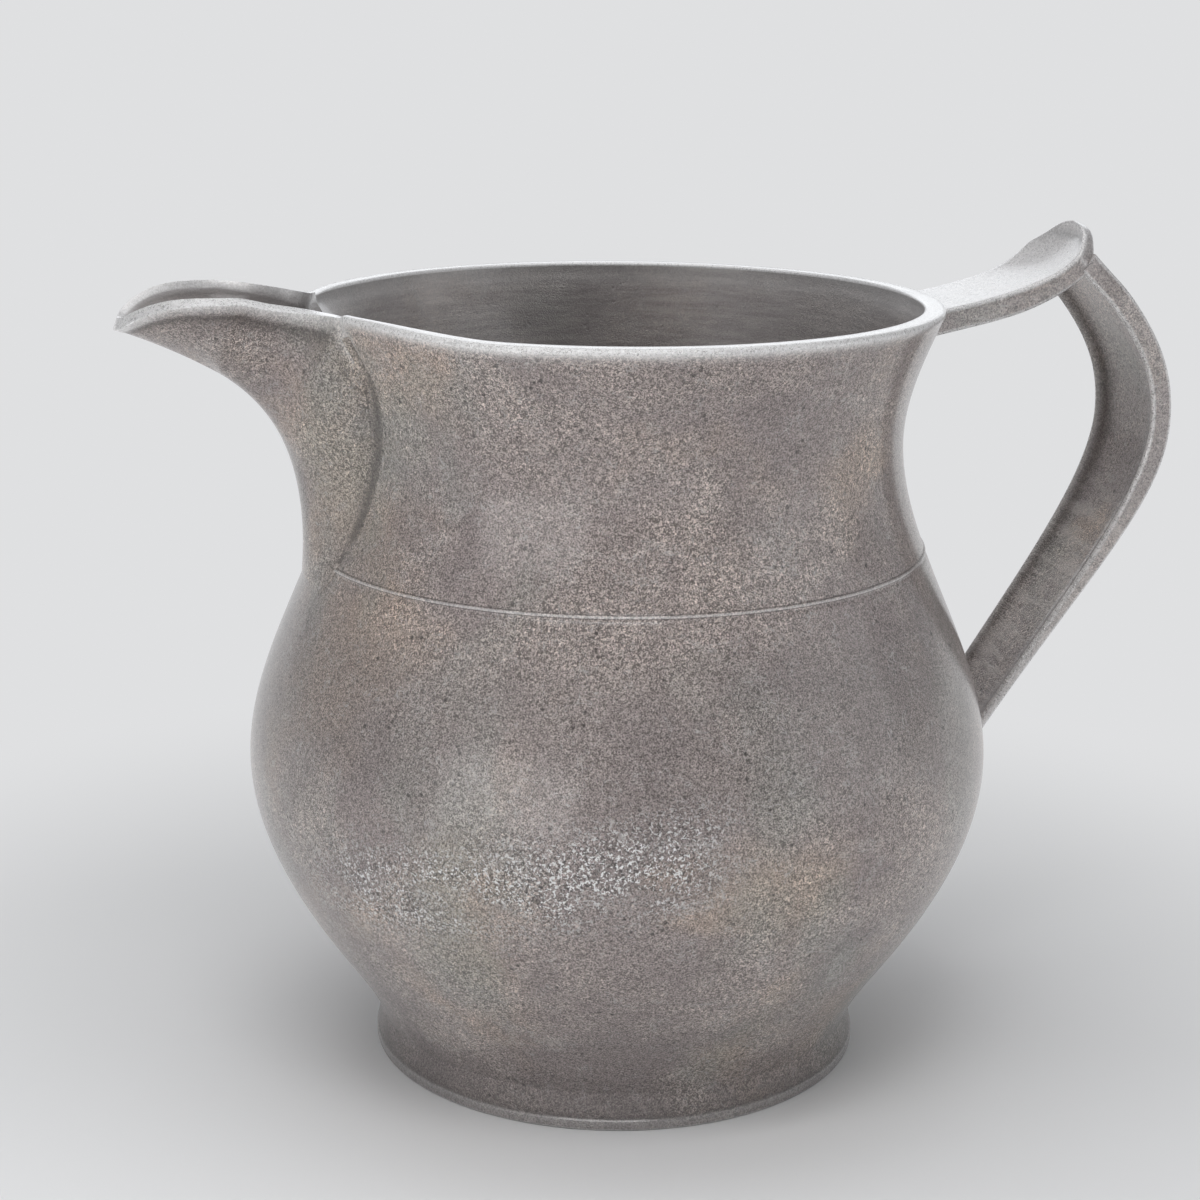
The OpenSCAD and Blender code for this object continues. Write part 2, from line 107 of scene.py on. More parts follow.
# %% [markdown]
# Old pewter is brightest where hands and cloths rub it, on the rim and on every rounded edge, and
# darkest in the valleys where dirt stays. A texture can't know where those are, so each finished mesh
# gets two numbers at every vertex. The first is how convex it is, as wear; above the rim's height it also
# paints a highlight on faces that turn towards a given side, and along the spout's lips it is rub and
# painted highlight. The second is how hollow it is, as grime, which also paints shade in the hollows. A
# third number says which skin looks inwards, because the inside of the body is smoother. Edges that are
# hidden in a soldered joint are left out, and so no bright line shows there.

# %% Marks of wear and painted highlight, grime and painted shade, and the inner skin
EDGE_BEND, VALLEY_BEND = (90, 420), (25, 110)
# Above this height, faces turned towards the given side get a painted highlight as well as rub
BRIGHT_TOP_Z, BRIGHT_TOP_TURN = (147, 150), (0.15, 0.65)
LIP_REACH = (1.2, 1.8)
TROUGH_TURN, ROUND_TURN = 0.2, -0.15


def smoothed(bm, layer, times):
    for _ in range(times):
        means = []
        for v in bm.verts:
            around = [e.other_vert(v)[layer] for e in v.link_edges]
            means.append(sum(around) / max(1, len(around)))
        for v, mean in zip(bm.verts, means):
            v[layer] = 0.5 * v[layer] + 0.5 * mean


def curvature(e):
    gap = (e.link_faces[0].calc_center_median() - e.link_faces[1].calc_center_median()).length
    return e.calc_face_angle_signed(0) / max(gap, 0.1 * MM)


def looks_inwards(v, hollow):
    if hollow == "trough":
        return 0.3 * v.normal.z - (v.normal.y if v.co.y > 0 else -v.normal.y) > TROUGH_TURN
    flat = Vector((v.co.x, v.co.y, 0))
    return hollow == "round" and flat.length > MM and v.normal.dot(flat.normalized()) < ROUND_TURN


def spots_tree(spots):
    tree = KDTree(len(spots))
    for i, spot in enumerate(spots):
        tree.insert(spot, i)
    tree.balance()
    return tree


def mark_wear_and_light(bm, joints, hollow, top_light_and_rub, lit_and_rubbed_from, lips):
    bm.normal_update()
    tree = spots_tree(lips)
    wear_and_highlight = bm.verts.layers.float.new("wear_and_highlight")
    grime_and_shade = bm.verts.layers.float.get("grime_and_shade") or bm.verts.layers.float.new("grime_and_shade")
    inside = bm.verts.layers.float.new("inside")
    bends = {e: curvature(e) for e in bm.edges if e.is_manifold}
    for v in bm.verts:
        around = [bends[e] for e in v.link_edges if e in bends]
        bend = sum(around) / max(1, len(around))
        z = v.co.z / MM
        hidden = any(a < z < b for a, b in joints)
        # Faces above the rim's height that turn towards the given side get rub and a painted highlight
        lit_and_rubbed_top = top_light_and_rub * ramp(v.normal.dot(lit_and_rubbed_from), *BRIGHT_TOP_TURN) * ramp(z, *BRIGHT_TOP_Z)
        # Near the spout's lips: rub and a painted highlight
        lip_rub_and_highlight = 1 - ramp(tree.find(v.co)[2] / MM, *LIP_REACH) if lips else 0
        v[wear_and_highlight] = max(0.0 if hidden else ramp(bend, *EDGE_BEND), lit_and_rubbed_top, lip_rub_and_highlight)
        # Hollows get grime and painted shade
        v[grime_and_shade] = max(v[grime_and_shade], 0.0 if hidden else ramp(-bend, *VALLEY_BEND))
        v[inside] = 1.0 if looks_inwards(v, hollow) else 0.0
    smoothed(bm, wear_and_highlight, 2)
    smoothed(bm, grime_and_shade, 2)
    smoothed(bm, inside, 1)


# %% [markdown]
# A finished piece is more than a mesh. It rides on the body of the pitcher and takes the place of its
# plain solid. All nine pieces need the same steps, so one function does them and reports what it made.

# %% Finish a mesh as a piece
SHARP = radians(40)
UPWARDS = Vector((0, 0, 1))


def finish_piece(name, bm, nodes, joints=(), hollow="", top_light_and_rub=0.0, lit_and_rubbed_from=UPWARDS, lips=()):
    mark_wear_and_light(bm, joints, hollow, top_light_and_rub, lit_and_rubbed_from, lips)
    wear_and_highlight, grime_and_shade = (bm.verts.layers.float[mark] for mark in ("wear_and_highlight", "grime_and_shade"))
    highlight_and_rub = sum(v[wear_and_highlight] for v in bm.verts) / len(bm.verts)
    dirt_and_shade = sum(v[grime_and_shade] for v in bm.verts) / len(bm.verts)
    mesh = bpy.data.meshes.new(name)
    bm.to_mesh(mesh)
    bm.free()
    mesh.shade_smooth()
    mesh.set_sharp_from_angle(angle=SHARP)
    piece = bpy.data.objects.new(name, mesh)
    bpy.context.scene.collection.objects.link(piece)
    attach(piece, "root")
    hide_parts(*nodes)
    print(name, "faces:", len(mesh.polygons), "box mm:", [round(d * 1000, 1) for d in piece.dimensions],
          "worn %.2f grime %.2f" % (highlight_and_rub, dirt_and_shade))
    return piece


# %% [markdown]
# The bowl, the foot and the line of solder were all turned on a lathe after casting, so each is an
# outline spun about the pitcher's axis. A full spin leaves two rows of vertices on the same line, so
# they are merged, and the normals are then turned outwards.

# %% Turn an outline


def turned(outline, steps=200):
    bm = bmesh.new()
    corners = [bm.verts.new((r * MM, 0, z * MM)) for r, z in outline]
    edges = [bm.edges.new(pair) for pair in zip(corners, corners[1:] + corners[:1])]
    bmesh.ops.spin(bm, geom=corners + edges, cent=(0, 0, 0), axis=(0, 0, 1), angle=2 * pi, steps=steps,
                   use_merge=True)
    bmesh.ops.remove_doubles(bm, verts=bm.verts, dist=0.005 * MM)
    bmesh.ops.recalc_face_normals(bm, faces=bm.faces)
    return bm


# %% [markdown]
# The bowl is the lower casting. Its top edge is thinned to half, so that the neck can lap over it, and a
# groove runs round the outside of the lap for the solder. At the bottom a ledge holds the floor disc.

# %% Bowl
SEAM_Z, LAP_H, GROOVE = 104.4, 4, 0.8
FLOOR_T, LEDGE_T, LEDGE_W, BOWL_EDGE = 2.4, 2, 3, 2.4
floor_z = ANKLE_Z + FLOOR_T
floor_r = ANKLE_R - BOWL_EDGE
ledge_r, ledge_z = floor_r - LEDGE_W, floor_z + LEDGE_T
groove_bottom = (outer_r(SEAM_Z) - GROOVE, SEAM_Z)
bowl_outline = (
    outer_run(ANKLE_Z, SEAM_Z - GROOVE) + [groove_bottom]
    + [(outer_r(z) - wall_at(z) / 2, z) for z in even(SEAM_Z, SEAM_Z + LAP_H, 4)]
    + inner_run(ledge_z, SEAM_Z + LAP_H)[::-1]
    + [(ledge_r, ledge_z), (ledge_r, floor_z), (floor_r, floor_z), (floor_r, ANKLE_Z)])
bowl = finish_piece("bowl_skin", turned(bowl_outline), ["bowl"], joints=[(0, 10), (101, 112)],
                    hollow="round")

# %% [markdown]
# The solder in the groove stands out as a fine raised line. A round bead would look like a wire, so the
# line rises steeply to a narrow crest, and its two feet lie level with the castings.

# %% Line of solder at the seam
BEAD, CREST = 0.2625, 5
SEAM_REACH, CREST_REACH = 1, 0.45
bead = [(outer_r(SEAM_Z + k * GROOVE) + BEAD * (1 - k * k) ** CREST, SEAM_Z + k * GROOVE)
        for k in even(-1, 1, 28)]
seam_feet = [(SEAM_Z - SEAM_REACH, SEAM_Z - CREST_REACH), (SEAM_Z + CREST_REACH, SEAM_Z + SEAM_REACH)]
seam = finish_piece("seam_line", turned([groove_bottom] + bead, 260), ["seam_solder"],
                    joints=seam_feet)

# %% [markdown]
# The foot is a low ring that spreads a little from the ankle and ends in a narrow upright lip. The lip's
# lower edge is rounded, because it is the edge that rubs on every table.

# %% Foot
FOOT_R, FOOT_LIP_H, FOOT_LIP, FOOT_ROUND, FOOT_T, FOOT_SEAT = 49.4, 2, 0.3, 0.6, 2.8, 4
flare_low, flare_r = FOOT_LIP_H + FOOT_LIP, FOOT_R - FOOT_LIP
flare = [(ANKLE_R + (flare_r - ANKLE_R) * ramp(z, ANKLE_Z, flare_low), z)
         for z in even(ANKLE_Z, flare_low, 10)]
edge = [(FOOT_R - FOOT_ROUND + FOOT_ROUND * cos(a), FOOT_ROUND + FOOT_ROUND * sin(a))
        for a in even(0, -pi / 2, 6)]
underside = [(FOOT_R - FOOT_T, 0), (ANKLE_R - FOOT_SEAT, ANKLE_Z)]
foot_outline = flare + [(FOOT_R, FOOT_LIP_H)] + edge + underside
foot = finish_piece("foot", turned(foot_outline), ["foot_ring"], joints=[(6, 9)])

# %% [markdown]
# The spout's root is drawn on the wall of the body as half an angle at each height: a round bottom, sides
# that open upwards with a slight swell, and a nip under the rim. The neck's opening, the spout and its
# fillet all follow this one line, so they always meet.

# %% Outline of the spout's root
ROOT_Z, ROOT_ROUND_H = 96.5, 8.5
ROOT_LOW, ROOT_TOP, ROOT_RIM, ROOT_SWELL, NIP_DEPTH = 12.5, 25.5, 20, 1.3, 10


def root_angle(z):
    low_z = ROOT_Z + ROOT_ROUND_H
    if z < low_z:
        return ROOT_LOW * sqrt(max(0, 1 - ((low_z - z) / ROOT_ROUND_H) ** 2))
    share = (z - low_z) / (RIM_Z - low_z)
    return (ROOT_LOW + (ROOT_TOP - ROOT_LOW) * share + ROOT_SWELL * sin(pi * share)
            - (ROOT_TOP - ROOT_RIM) * ramp(z, RIM_Z - NIP_DEPTH, RIM_Z))


def on_body(angle, z, sink=0.0):
    r = outer_r(z) - sink
    return Vector((-r * cos(radians(angle)), r * sin(radians(angle)), z))


print("half angle of the root at the seam, the waist and the rim:",
      [round(root_angle(z), 1) for z in (SEAM_Z, WAIST_Z, RIM_Z)])

# %% [markdown]
# Three pieces here are a closed section that changes along a line: the cutter for the opening, the arm
# and the grip. A curve with a bevel could make them, but then every section has the same shape. So the
# first section's edges are extruded, moved to the next section, and so on, and both ends are closed.

# %% A solid through a row of closed sections


def lofted(sections):
    bm = bmesh.new()
    verts = [bm.verts.new(p * MM) for p in sections[0]]
    loop = [bm.edges.new(pair) for pair in zip(verts, verts[1:] + verts[:1])]
    first = loop[:]
    for spots in sections[1:]:
        made = bmesh.ops.extrude_edge_only(bm, edges=loop)["geom"]
        loop = [g for g in made if isinstance(g, bmesh.types.BMEdge)]
        for v, p in zip([g for g in made if isinstance(g, bmesh.types.BMVert)], spots):
            v.co = p * MM
    for end in (first, loop):
        bmesh.ops.contextual_create(bm, geom=end)
    bmesh.ops.recalc_face_normals(bm, faces=bm.faces)
    return bm


# %% [markdown]
# The neck is turned like the bowl. Its rim was then dressed by hand: beside the spout it is drawn up on
# the near side to meet the spout's lip, and it is thinned to the lip's width. Moving the vertices near
# the rim does the same, with ramps that fade round the rim and down the wall.

# %% Turn the neck and dress its rim
RIM_INNER_ROUND = 0.7
SPOUT_T = 2.4
NEAR_SWEEP, SWEEP_FULL, SWEEP_END, THIN_END = 1.6, 24, 54, 46
DRESSED_Z, DRESSED_WALL = (RIM_Z - 9, RIM_Z - 2), (0.8, 3)
outer_arc = [(RIM_R - RIM_ROUND + RIM_ROUND * cos(a), RIM_EDGE_Z + RIM_ROUND * sin(a))
             for a in even(0, pi / 2, 7)]
inner_arc = [(RIM_R - RIM_T + RIM_INNER_ROUND * (1 + cos(a)),
              RIM_Z - RIM_INNER_ROUND + RIM_INNER_ROUND * sin(a)) for a in even(pi / 2, pi, 6)]
neck_outline = (
    outer_run(SEAM_Z + GROOVE, RIM_EDGE_Z)[:-1] + outer_arc + inner_arc
    + inner_run(SEAM_Z + LAP_H, RIM_Z - RIM_INNER_ROUND)[::-1][1:]
    + [(outer_r(z) - wall_at(z) / 2, z) for z in even(SEAM_Z + LAP_H, SEAM_Z, 4)] + [groove_bottom])
neck_bm = turned(neck_outline, 240)
for v in neck_bm.verts:
    x, y, z = v.co / MM
    r = hypot(x, y)
    angle = degrees(Vector((-x, abs(y))).angle(Vector((1, 0))))
    near_rim = ramp(z, *DRESSED_Z)
    lift = NEAR_SWEEP * (1 - ramp(angle, SWEEP_FULL, SWEEP_END)) if y < 0 else 0
    within_wall = ramp(outer_r(min(z, RIM_EDGE_Z)) - r, *DRESSED_WALL)
    thin = (RIM_T - SPOUT_T) * (1 - ramp(angle, ROOT_RIM, THIN_END)) * within_wall
    grow = 1 + thin * near_rim / max(r, 1)
    v.co = Vector((x * grow, y * grow, z + lift * near_rim)) * MM
print("neck before it is opened, faces:", len(neck_bm.faces))

# %% [markdown]
# Behind the spout the neck's wall was sawn out, so that the trough is open to the body. A cutter with the
# outline of the root, a little narrower, does the saw's work with an exact boolean. The modifier's result
# is read back into a mesh, and the blank and the cutter are thrown away.

# %% Open the neck to the spout
OPENING_Z, OPENING_ROUND_H = 110, 9
OPENING_FULL_Z = OPENING_Z + OPENING_ROUND_H
CUT_FROM_R, CUT_TO_R, CUT_OVER = 40, 70, 8
LIP_MARGIN, WALL_MARGIN = 0.3, 2.1


def opening_half(z):
    margin = LIP_MARGIN + WALL_MARGIN * (1 - ramp(z, RIM_Z - 8, RIM_Z - 1))
    close = 1
    if z < OPENING_FULL_Z:
        close = sqrt(max(0.02, 1 - ((OPENING_FULL_Z - z) / OPENING_ROUND_H) ** 2))
    return (root_angle(min(z, RIM_Z)) - margin) * close


def wedge_section(z):
    a = radians(opening_half(z))
    corners = ((CUT_FROM_R, -1), (CUT_TO_R, -1), (CUT_TO_R, 1), (CUT_FROM_R, 1))
    return [Vector((-r * cos(a), side * r * sin(a), z)) for r, side in corners]


def as_object(name, bm):
    mesh = bpy.data.meshes.new(name)
    bm.to_mesh(mesh)
    bm.free()
    thing = bpy.data.objects.new(name, mesh)
    bpy.context.scene.collection.objects.link(thing)
    return thing


cut_levels = even(OPENING_Z, OPENING_FULL_Z, 8) + even(OPENING_FULL_Z + 1, RIM_Z, 30) + [RIM_Z + CUT_OVER]
cutter = as_object("opening_cutter", lofted([wedge_section(z) for z in cut_levels]))
blank = as_object("neck_blank", neck_bm)
saw = blank.modifiers.new("opening", "BOOLEAN")
saw.operation = "DIFFERENCE"
saw.solver = "EXACT"
saw.object = cutter
cut_mesh = bpy.data.meshes.new_from_object(blank.evaluated_get(bpy.context.evaluated_depsgraph_get()))
bm = bmesh.new()
bm.from_mesh(cut_mesh)
for thing in (cutter, blank):
    bpy.data.objects.remove(thing)
bmesh.ops.triangulate(bm, faces=[f for f in bm.faces if len(f.verts) > 4])
# The rim's top gets rub and a painted highlight
neck = finish_piece("neck_skin", bm, ["neck"], joints=[(100, 107)], hollow="round", top_light_and_rub=0.95)

# %% [markdown]
# The spout is a trough: its keel rises from the belly and bends out to the tip, and its sides sweep up to
# the lips. It could be carved from a block, but on the real one a flat casting was curved over a former.
# So its shape comes from two cubic curves, the keel and the lip, and from ribs between them that leave
# the keel level and rise to the lip.

# %% Keel, lip and ribs of the spout
REACH, TIP_DROP, NOSE_R, NOSE_LEN, LIP_RISE = 96.8, 2.7, 15.0, 20.0, 4.2
ROOT_SHARE, NOSE_SHARE = 0.38, 0.66
KEEL_LEAVES, KEEL_ARRIVES = Vector((4, 0, 39)), Vector((20.3, 0, -8.2))
LIP_LEAVES, LIP_CLIMB, LIP_ARRIVES = 8.5, Vector((0, 0, 0.7)), Vector((9.8, -2, -0.4))
NEAR_LIFT, NEAR_DIP, FAR_LIFT, FAR_DIP, NOSE_LIFT = 1.3, 2.8, 0.55, 1.5, 0.55
RIB_SINK = 0.1


def cubic(p, t):
    return p[0] * (1 - t) ** 3 + p[1] * 3 * (1 - t) ** 2 * t + p[2] * 3 * (1 - t) * t * t + p[3] * t ** 3


keel_start = Vector((-outer_r(ROOT_Z), 0, ROOT_Z))
keel_end = Vector((-REACH, 0, RIM_Z - TIP_DROP))
keel_line = [keel_start, keel_start + KEEL_LEAVES, keel_end + KEEL_ARRIVES, keel_end]
lip_start = Vector((-RIM_R * cos(radians(ROOT_RIM)), RIM_R * sin(radians(ROOT_RIM)), RIM_Z))
lip_end = Vector((NOSE_LEN - REACH, NOSE_R, RIM_Z + LIP_RISE))
turn_in = Vector((-sin(radians(ROOT_RIM)), -cos(radians(ROOT_RIM)), 0))
lip_line = [lip_start, lip_start + turn_in * LIP_LEAVES + LIP_CLIMB, lip_end + LIP_ARRIVES, lip_end]


def root_z(k):
    return ROOT_Z + (RIM_Z - ROOT_Z) * k ** 1.4


# How much higher than the plain lip line the dressed lip stands, on the near and on the far side
def lip_lift(side, k):
    if side < 0:
        return NEAR_LIFT - NEAR_DIP * ramp(k, -0.1, 0.78) + NOSE_LIFT * ramp(k, 0.75, 1)
    return FAR_LIFT - FAR_DIP * ramp(k, 0, 0.9)


# A rib is its keel point, its end on the +Y side and the lift of its lip
def rib_at(part, k, side=1):
    if part == "root":
        z = root_z(k)
        lift = lip_lift(side, 0) * ramp(k, 0.8, 1)
        return cubic(keel_line, ROOT_SHARE * k), on_body(root_angle(z), z, RIB_SINK), lift
    keel_share = ROOT_SHARE + (NOSE_SHARE - ROOT_SHARE) * k
    return cubic(keel_line, keel_share), cubic(lip_line, k), lip_lift(side, k)


def rib_point(rib, t, side=1):
    c, e, lift = rib
    return Vector((c.x + (e.x - c.x) * t * t, side * e.y * t, c.z + (e.z + lift - c.z) * t * t))


print("keel from", tuple(round(c, 1) for c in keel_start), "to", tuple(round(c, 1) for c in keel_end))

# %% [markdown]
# The sheet of the spout is drawn as lines that all have the same number of points, from the keel up to the
# lip: first along the near side, then like the ribs of a fan round the nose, then back along the far side.
# Near the lip each line swells a little, because the lip of a cast spout is a soft bead.

# %% Lines from the keel to the lip
SHARES = even(0, 0.88, 18) + [0.905, 0.925, 0.945, 1]
LIP_BEAD, BEAD_SHARES = 0.4, (0.91, 0.945)
ROOT_TUCK, NOSE_FALL, KEEL_SWELL = 1.1, 3.5, 2.2


def rib_line(part, k, side):
    rib = rib_at(part, k, side)
    swell = LIP_BEAD * (ramp(k, 0, 0.3) if part == "lip" else 0)
    line = [rib_point(rib, t, side) + Vector((0, side, 0)) * swell * ramp(t, *BEAD_SHARES) for t in SHARES]
    if part == "root":
        line[-1] -= Vector((line[-1].x, line[-1].y, 0)).normalized() * ROOT_TUCK
    return line


def fan_line(angle):
    c, e, lift = rib_at("lip", 1)
    past = sin(angle)
    top = keel_end.z + (e.z + lift - keel_end.z) * (1 - past ** NOSE_FALL)
    end = Vector((e.x - NOSE_LEN * past, -NOSE_R * cos(angle), top))
    power = 1 + cos(angle) ** 2
    outward = Vector((-past, -cos(angle), 0)) * LIP_BEAD
    line = []
    for t in SHARES:
        spot = Vector((c.x + (end.x - c.x) * t ** power, end.y * t, c.z + (end.z - c.z) * t ** power))
        swell = Vector((0, 0, KEEL_SWELL * past * past * t * (1 - t)))
        line.append(spot + swell + outward * ramp(t, *BEAD_SHARES))
    return line


side_stops = [("root", k) for k in even(0.10, 1, 34)] + [("lip", k) for k in even(0, 1, 24)[1:]]
lines = [rib_line(part, k, -1) for part, k in side_stops]
lines += [fan_line(angle) for angle in even(0, pi, 64)[1:-1]]
lines += [rib_line(part, k, 1) for part, k in side_stops[::-1]]
print("lines of the spout:", len(lines), "with", len(SHARES), "points each")

# %% [markdown]
# Extruding each line into the next gives a sheet with one clean edge, which is thickened and rounded at
# the lip. A painted shadow lies under the bead of the lip, so the sheet carries that shade from the start.
# The lip's corners are kept as places that are rubbed bright and get a painted highlight.

# %% Build the spout
LIP_ROUND, LIP_CORNER = 0.85, radians(50)


def strip(lines, painted_shade):
    bm = bmesh.new()
    grime_and_shade = bm.verts.layers.float.new("grime_and_shade")
    chain = None
    for spots, shares in zip(lines, painted_shade):
        if chain is None:
            verts = [bm.verts.new(p * MM) for p in spots]
            chain = [bm.edges.new(pair) for pair in zip(verts, verts[1:])]
        else:
            made = bmesh.ops.extrude_edge_only(bm, edges=chain)["geom"]
            chain = [g for g in made if isinstance(g, bmesh.types.BMEdge)]
            verts = [g for g in made if isinstance(g, bmesh.types.BMVert)]
        for v, p, share in zip(verts, spots, shares):
            v.co = p * MM
            v[grime_and_shade] = share
    return bm


# Painted shadow under the bead of the lip, fainter on the lines along the root
shadow_under_lip = [ramp(t, 0.86, 0.9) * (1 - ramp(t, 0.925, 0.95)) for t in SHARES]
root_lip_shadow = [[share * 0.3 for share in shadow_under_lip] for part, k in side_stops if part == "root"]
bm = strip(lines, root_lip_shadow + [shadow_under_lip] * (len(lines) - 2 * len(root_lip_shadow)) + root_lip_shadow)
bmesh.ops.remove_doubles(bm, verts=bm.verts, dist=0.002 * MM)
bmesh.ops.recalc_face_normals(bm, faces=bm.faces)
bm.normal_update()
lowest = min(bm.faces, key=lambda f: f.calc_center_median().z)
if lowest.normal.x > 0:
    bmesh.ops.reverse_faces(bm, faces=bm.faces)
bmesh.ops.solidify(bm, geom=bm.faces[:], thickness=SPOUT_T * MM)
bm.normal_update()
lip_edges = [e for e in bm.edges if e.is_manifold and e.calc_face_angle(0) > LIP_CORNER
             and min(v.co.z for v in e.verts) > (keel_end.z - 1) * MM]
lip_spots = [v.co.copy() for e in lip_edges for v in e.verts]
bmesh.ops.bevel(bm, geom=lip_edges, offset=LIP_ROUND * MM, segments=5, profile=0.5, affect="EDGES",
                material=-1, clamp_overlap=True)
bmesh.ops.recalc_face_normals(bm, faces=bm.faces)
spout = finish_piece("spout_skin", bm, ["spout"], joints=[(90, 149)], hollow="trough",
                     lips=lip_spots)

# %% [markdown]
# Where the spout meets the neck, solder was run into the valley and filed to a soft hollow. It is a
# strip that leaves the neck and meets the spout without a break, so across it runs a curve whose ends
# follow both faces, and this curve is extruded along the root. Its edges are sunk a little into both
# faces, more so near the dressed rim, and so no gap shows.

# %% Curve across the fillet at the spout's root
VALLEY, VALLEY_STEPS, VALLEY_PULL = 3.4, 14, 0.62
SINK, RIM_SINK = 0.12, 0.8
SINK_Z = (RIM_Z - 10, RIM_Z - 3)


def root_curve(k, size):
    rib = rib_at("root", k)
    z = root_z(k)
    up, down = root_z(min(1, k * 1.03)), root_z(k * 0.97)
    along = on_body(root_angle(up), up) - on_body(root_angle(down), down)
    corner = on_body(root_angle(z), z)
    lean = lean_at(min(z, RIM_EDGE_Z - 2 * LEAN_STEP))
    out = Vector((corner.x, corner.y, 0)).normalized() - Vector((0, 0, lean))
    away = along.cross(out).normalized()
    if away.y < 0:
        away = -away
    far = corner + away * size
    angle = degrees(Vector((-far.x, far.y)).angle_signed(Vector((1, 0)), 0))
    start = on_body(abs(angle), min(far.z, RIM_Z), SINK + RIM_SINK * ramp(far.z, *SINK_Z))
    share = 1 - size / ((rib_point(rib, 1) - rib_point(rib, 0.97)).length / 0.03)
    stop = rib_point(rib, share)
    inward = (stop - rib_point(rib, share + 0.02)).normalized()
    across = inward.cross(along).normalized()
    stop -= across * (SINK if across.dot(out) > 0 else -SINK)
    pull = VALLEY_PULL * size
    points = [start, start + (corner - start).normalized() * pull, stop - inward * pull, stop]
    return [cubic(points, t) for t in even(0, 1, VALLEY_STEPS)]


def valley_size(k):
    return VALLEY * (0.3 + 0.7 * ramp(k, 0.26, 0.42)) * (1 - 0.6 * ramp(k, 0.78, 0.97))


# Painted shade down the middle of the fillet, weaker low down and near the rim
def valley_shade(k):
    along = ramp(k, 0.3, 0.4) * (1 - 0.7 * ramp(k, 0.85, 1.0))
    return [(1 - ramp(abs(t - 0.45), 0.04, 0.36)) * along for t in even(0, 1, VALLEY_STEPS)]


print("width of the fillet low, in the middle and at the rim:",
      [round(valley_size(k), 1) for k in (0.28, 0.6, 0.97)])

# %% [markdown]
# The fillet is the same on both sides of the spout, so one strip is made and mirrored. A mirrored strip
# has its faces turned over, so each side is tested by the mean of its normals, which must look towards
# the spout's tip.

# %% Fillet of solder round the spout's root
valley_stops = even(0.28, 0.97, 48)
bm = strip([root_curve(k, valley_size(k)) for k in valley_stops], [valley_shade(k) for k in valley_stops])
bmesh.ops.mirror(bm, geom=bm.verts[:] + bm.edges[:] + bm.faces[:], axis="Y", merge_dist=0)
bmesh.ops.recalc_face_normals(bm, faces=bm.faces)
bm.normal_update()
for part in (1, -1):
    side_faces = [f for f in bm.faces if f.calc_center_median().y * part > 0]
    middle = sum((f.normal for f in side_faces), Vector())
    if middle.x > 0:
        bmesh.ops.reverse_faces(bm, faces=side_faces)
spout_fillet = finish_piece("spout_fillet", bm, ["spout_solder"], joints=[(143, 160)])

# %% [markdown]
# The handle is two castings: an arm that runs out from the rim and turns up into a dished thumb rest, and
# a strap for the grip, hollowed on its inner face, that runs from under the arm down to the belly. Both
# are the same thing to make: a rounded section carried along a curved line, wider and thinner as it goes.

# %% Section of a strap
STRAP_ROUND = 0.9


def strap_section(at, normal, w, t, dish, hollow=2):
    r = min(STRAP_ROUND, t / 2 - 0.05)
    flat, top = w / 2 - r, t / 2
    corner = even(0, pi / 2, 4)
    section = [(v, top - dish * (1 - abs(v / flat) ** hollow)) for v in even(-flat, flat, 28)]
    section += [(flat + r * sin(a), top - r + r * cos(a)) for a in corner[1:]]
    section += [(flat + r * cos(a), r - top - r * sin(a)) for a in corner]
    section += [(v, -top) for v in even(flat, -flat, 12)[1:]]
    section += [(-flat - r * sin(a), r - top - r * cos(a)) for a in corner[1:]]
    section += [(-flat - r * cos(a), top - r + r * sin(a)) for a in corner[:-1]]
    return [Vector((at.x + normal.x * q, v, at.z + normal.z * q)) for v, q in section]


def normal_of(line, t):
    d = (line(t + 0.005) - line(t - 0.005)).normalized()
    return Vector((-d.z, 0, d.x))


# %% [markdown]
# The arm leaves the neck just under the rim, is a little narrower in the middle and ends in a round thumb
# rest. Its width, thickness and hollow are each a function of the way along it. The stops crowd towards
# the tip, where the outline turns fastest. Thumbs keep the top of it bright, and a highlight is painted
# there too, on the faces turned towards the thumb's side.

# %% Arm with its thumb rest
ARM_DROP, THUMB_X, THUMB_RISE, THUMB_FROM = 4.9, 96.5, 12.8, 0.78
ARM_W, ARM_WAIST_W, THUMB_W, THUMB_TAPER, THUMB_ROUND = 24.0, 23.2, 24.6, 0.22, 2.8
ARM_T, ARM_END_T, TIP_T, ARM_TOP, TOP_FALL, THUMB_DISH = 4.8, 4.2, 2.2, 2.0, 0.9, 1.3
THUMB_SIDE = Vector((-0.55, 0, 0.83))
arm_start = Vector((outer_r(RIM_Z - ARM_DROP), 0, RIM_Z - ARM_DROP))
arm_end = Vector((THUMB_X, 0, RIM_Z + THUMB_RISE))
arm_line = [arm_start, arm_start + Vector((18.5, 0, 3.6)), arm_end + Vector((-4.1, 0, -12.5)), arm_end]
arm_lean = (arm_line[1] - arm_start).normalized()


def arm_mid(t):
    return cubic(arm_line, t) if t >= 0 else arm_start + arm_lean * t * 40


def arm_w(t):
    k = max(0, (t - THUMB_FROM) / (1 - THUMB_FROM))
    w = ARM_W + (ARM_WAIST_W - ARM_W) * ramp(t, 0.05, 0.48) + (THUMB_W - ARM_WAIST_W) * ramp(t, 0.48, 0.76)
    return w * (1 - THUMB_TAPER * ramp(k, -0.1, 0.7)) * max(0.05, sqrt(max(0, 1 - k ** THUMB_ROUND)))


def arm_t(t):
    return ARM_T + (ARM_END_T - ARM_T) * ramp(t, 0.3, 0.72) + (TIP_T - ARM_END_T) * ramp(t, 0.74, 1)


# Height of the arm's top face over its line
def arm_top(t):
    return ARM_TOP - TOP_FALL * ramp(t, 0.76, 1)


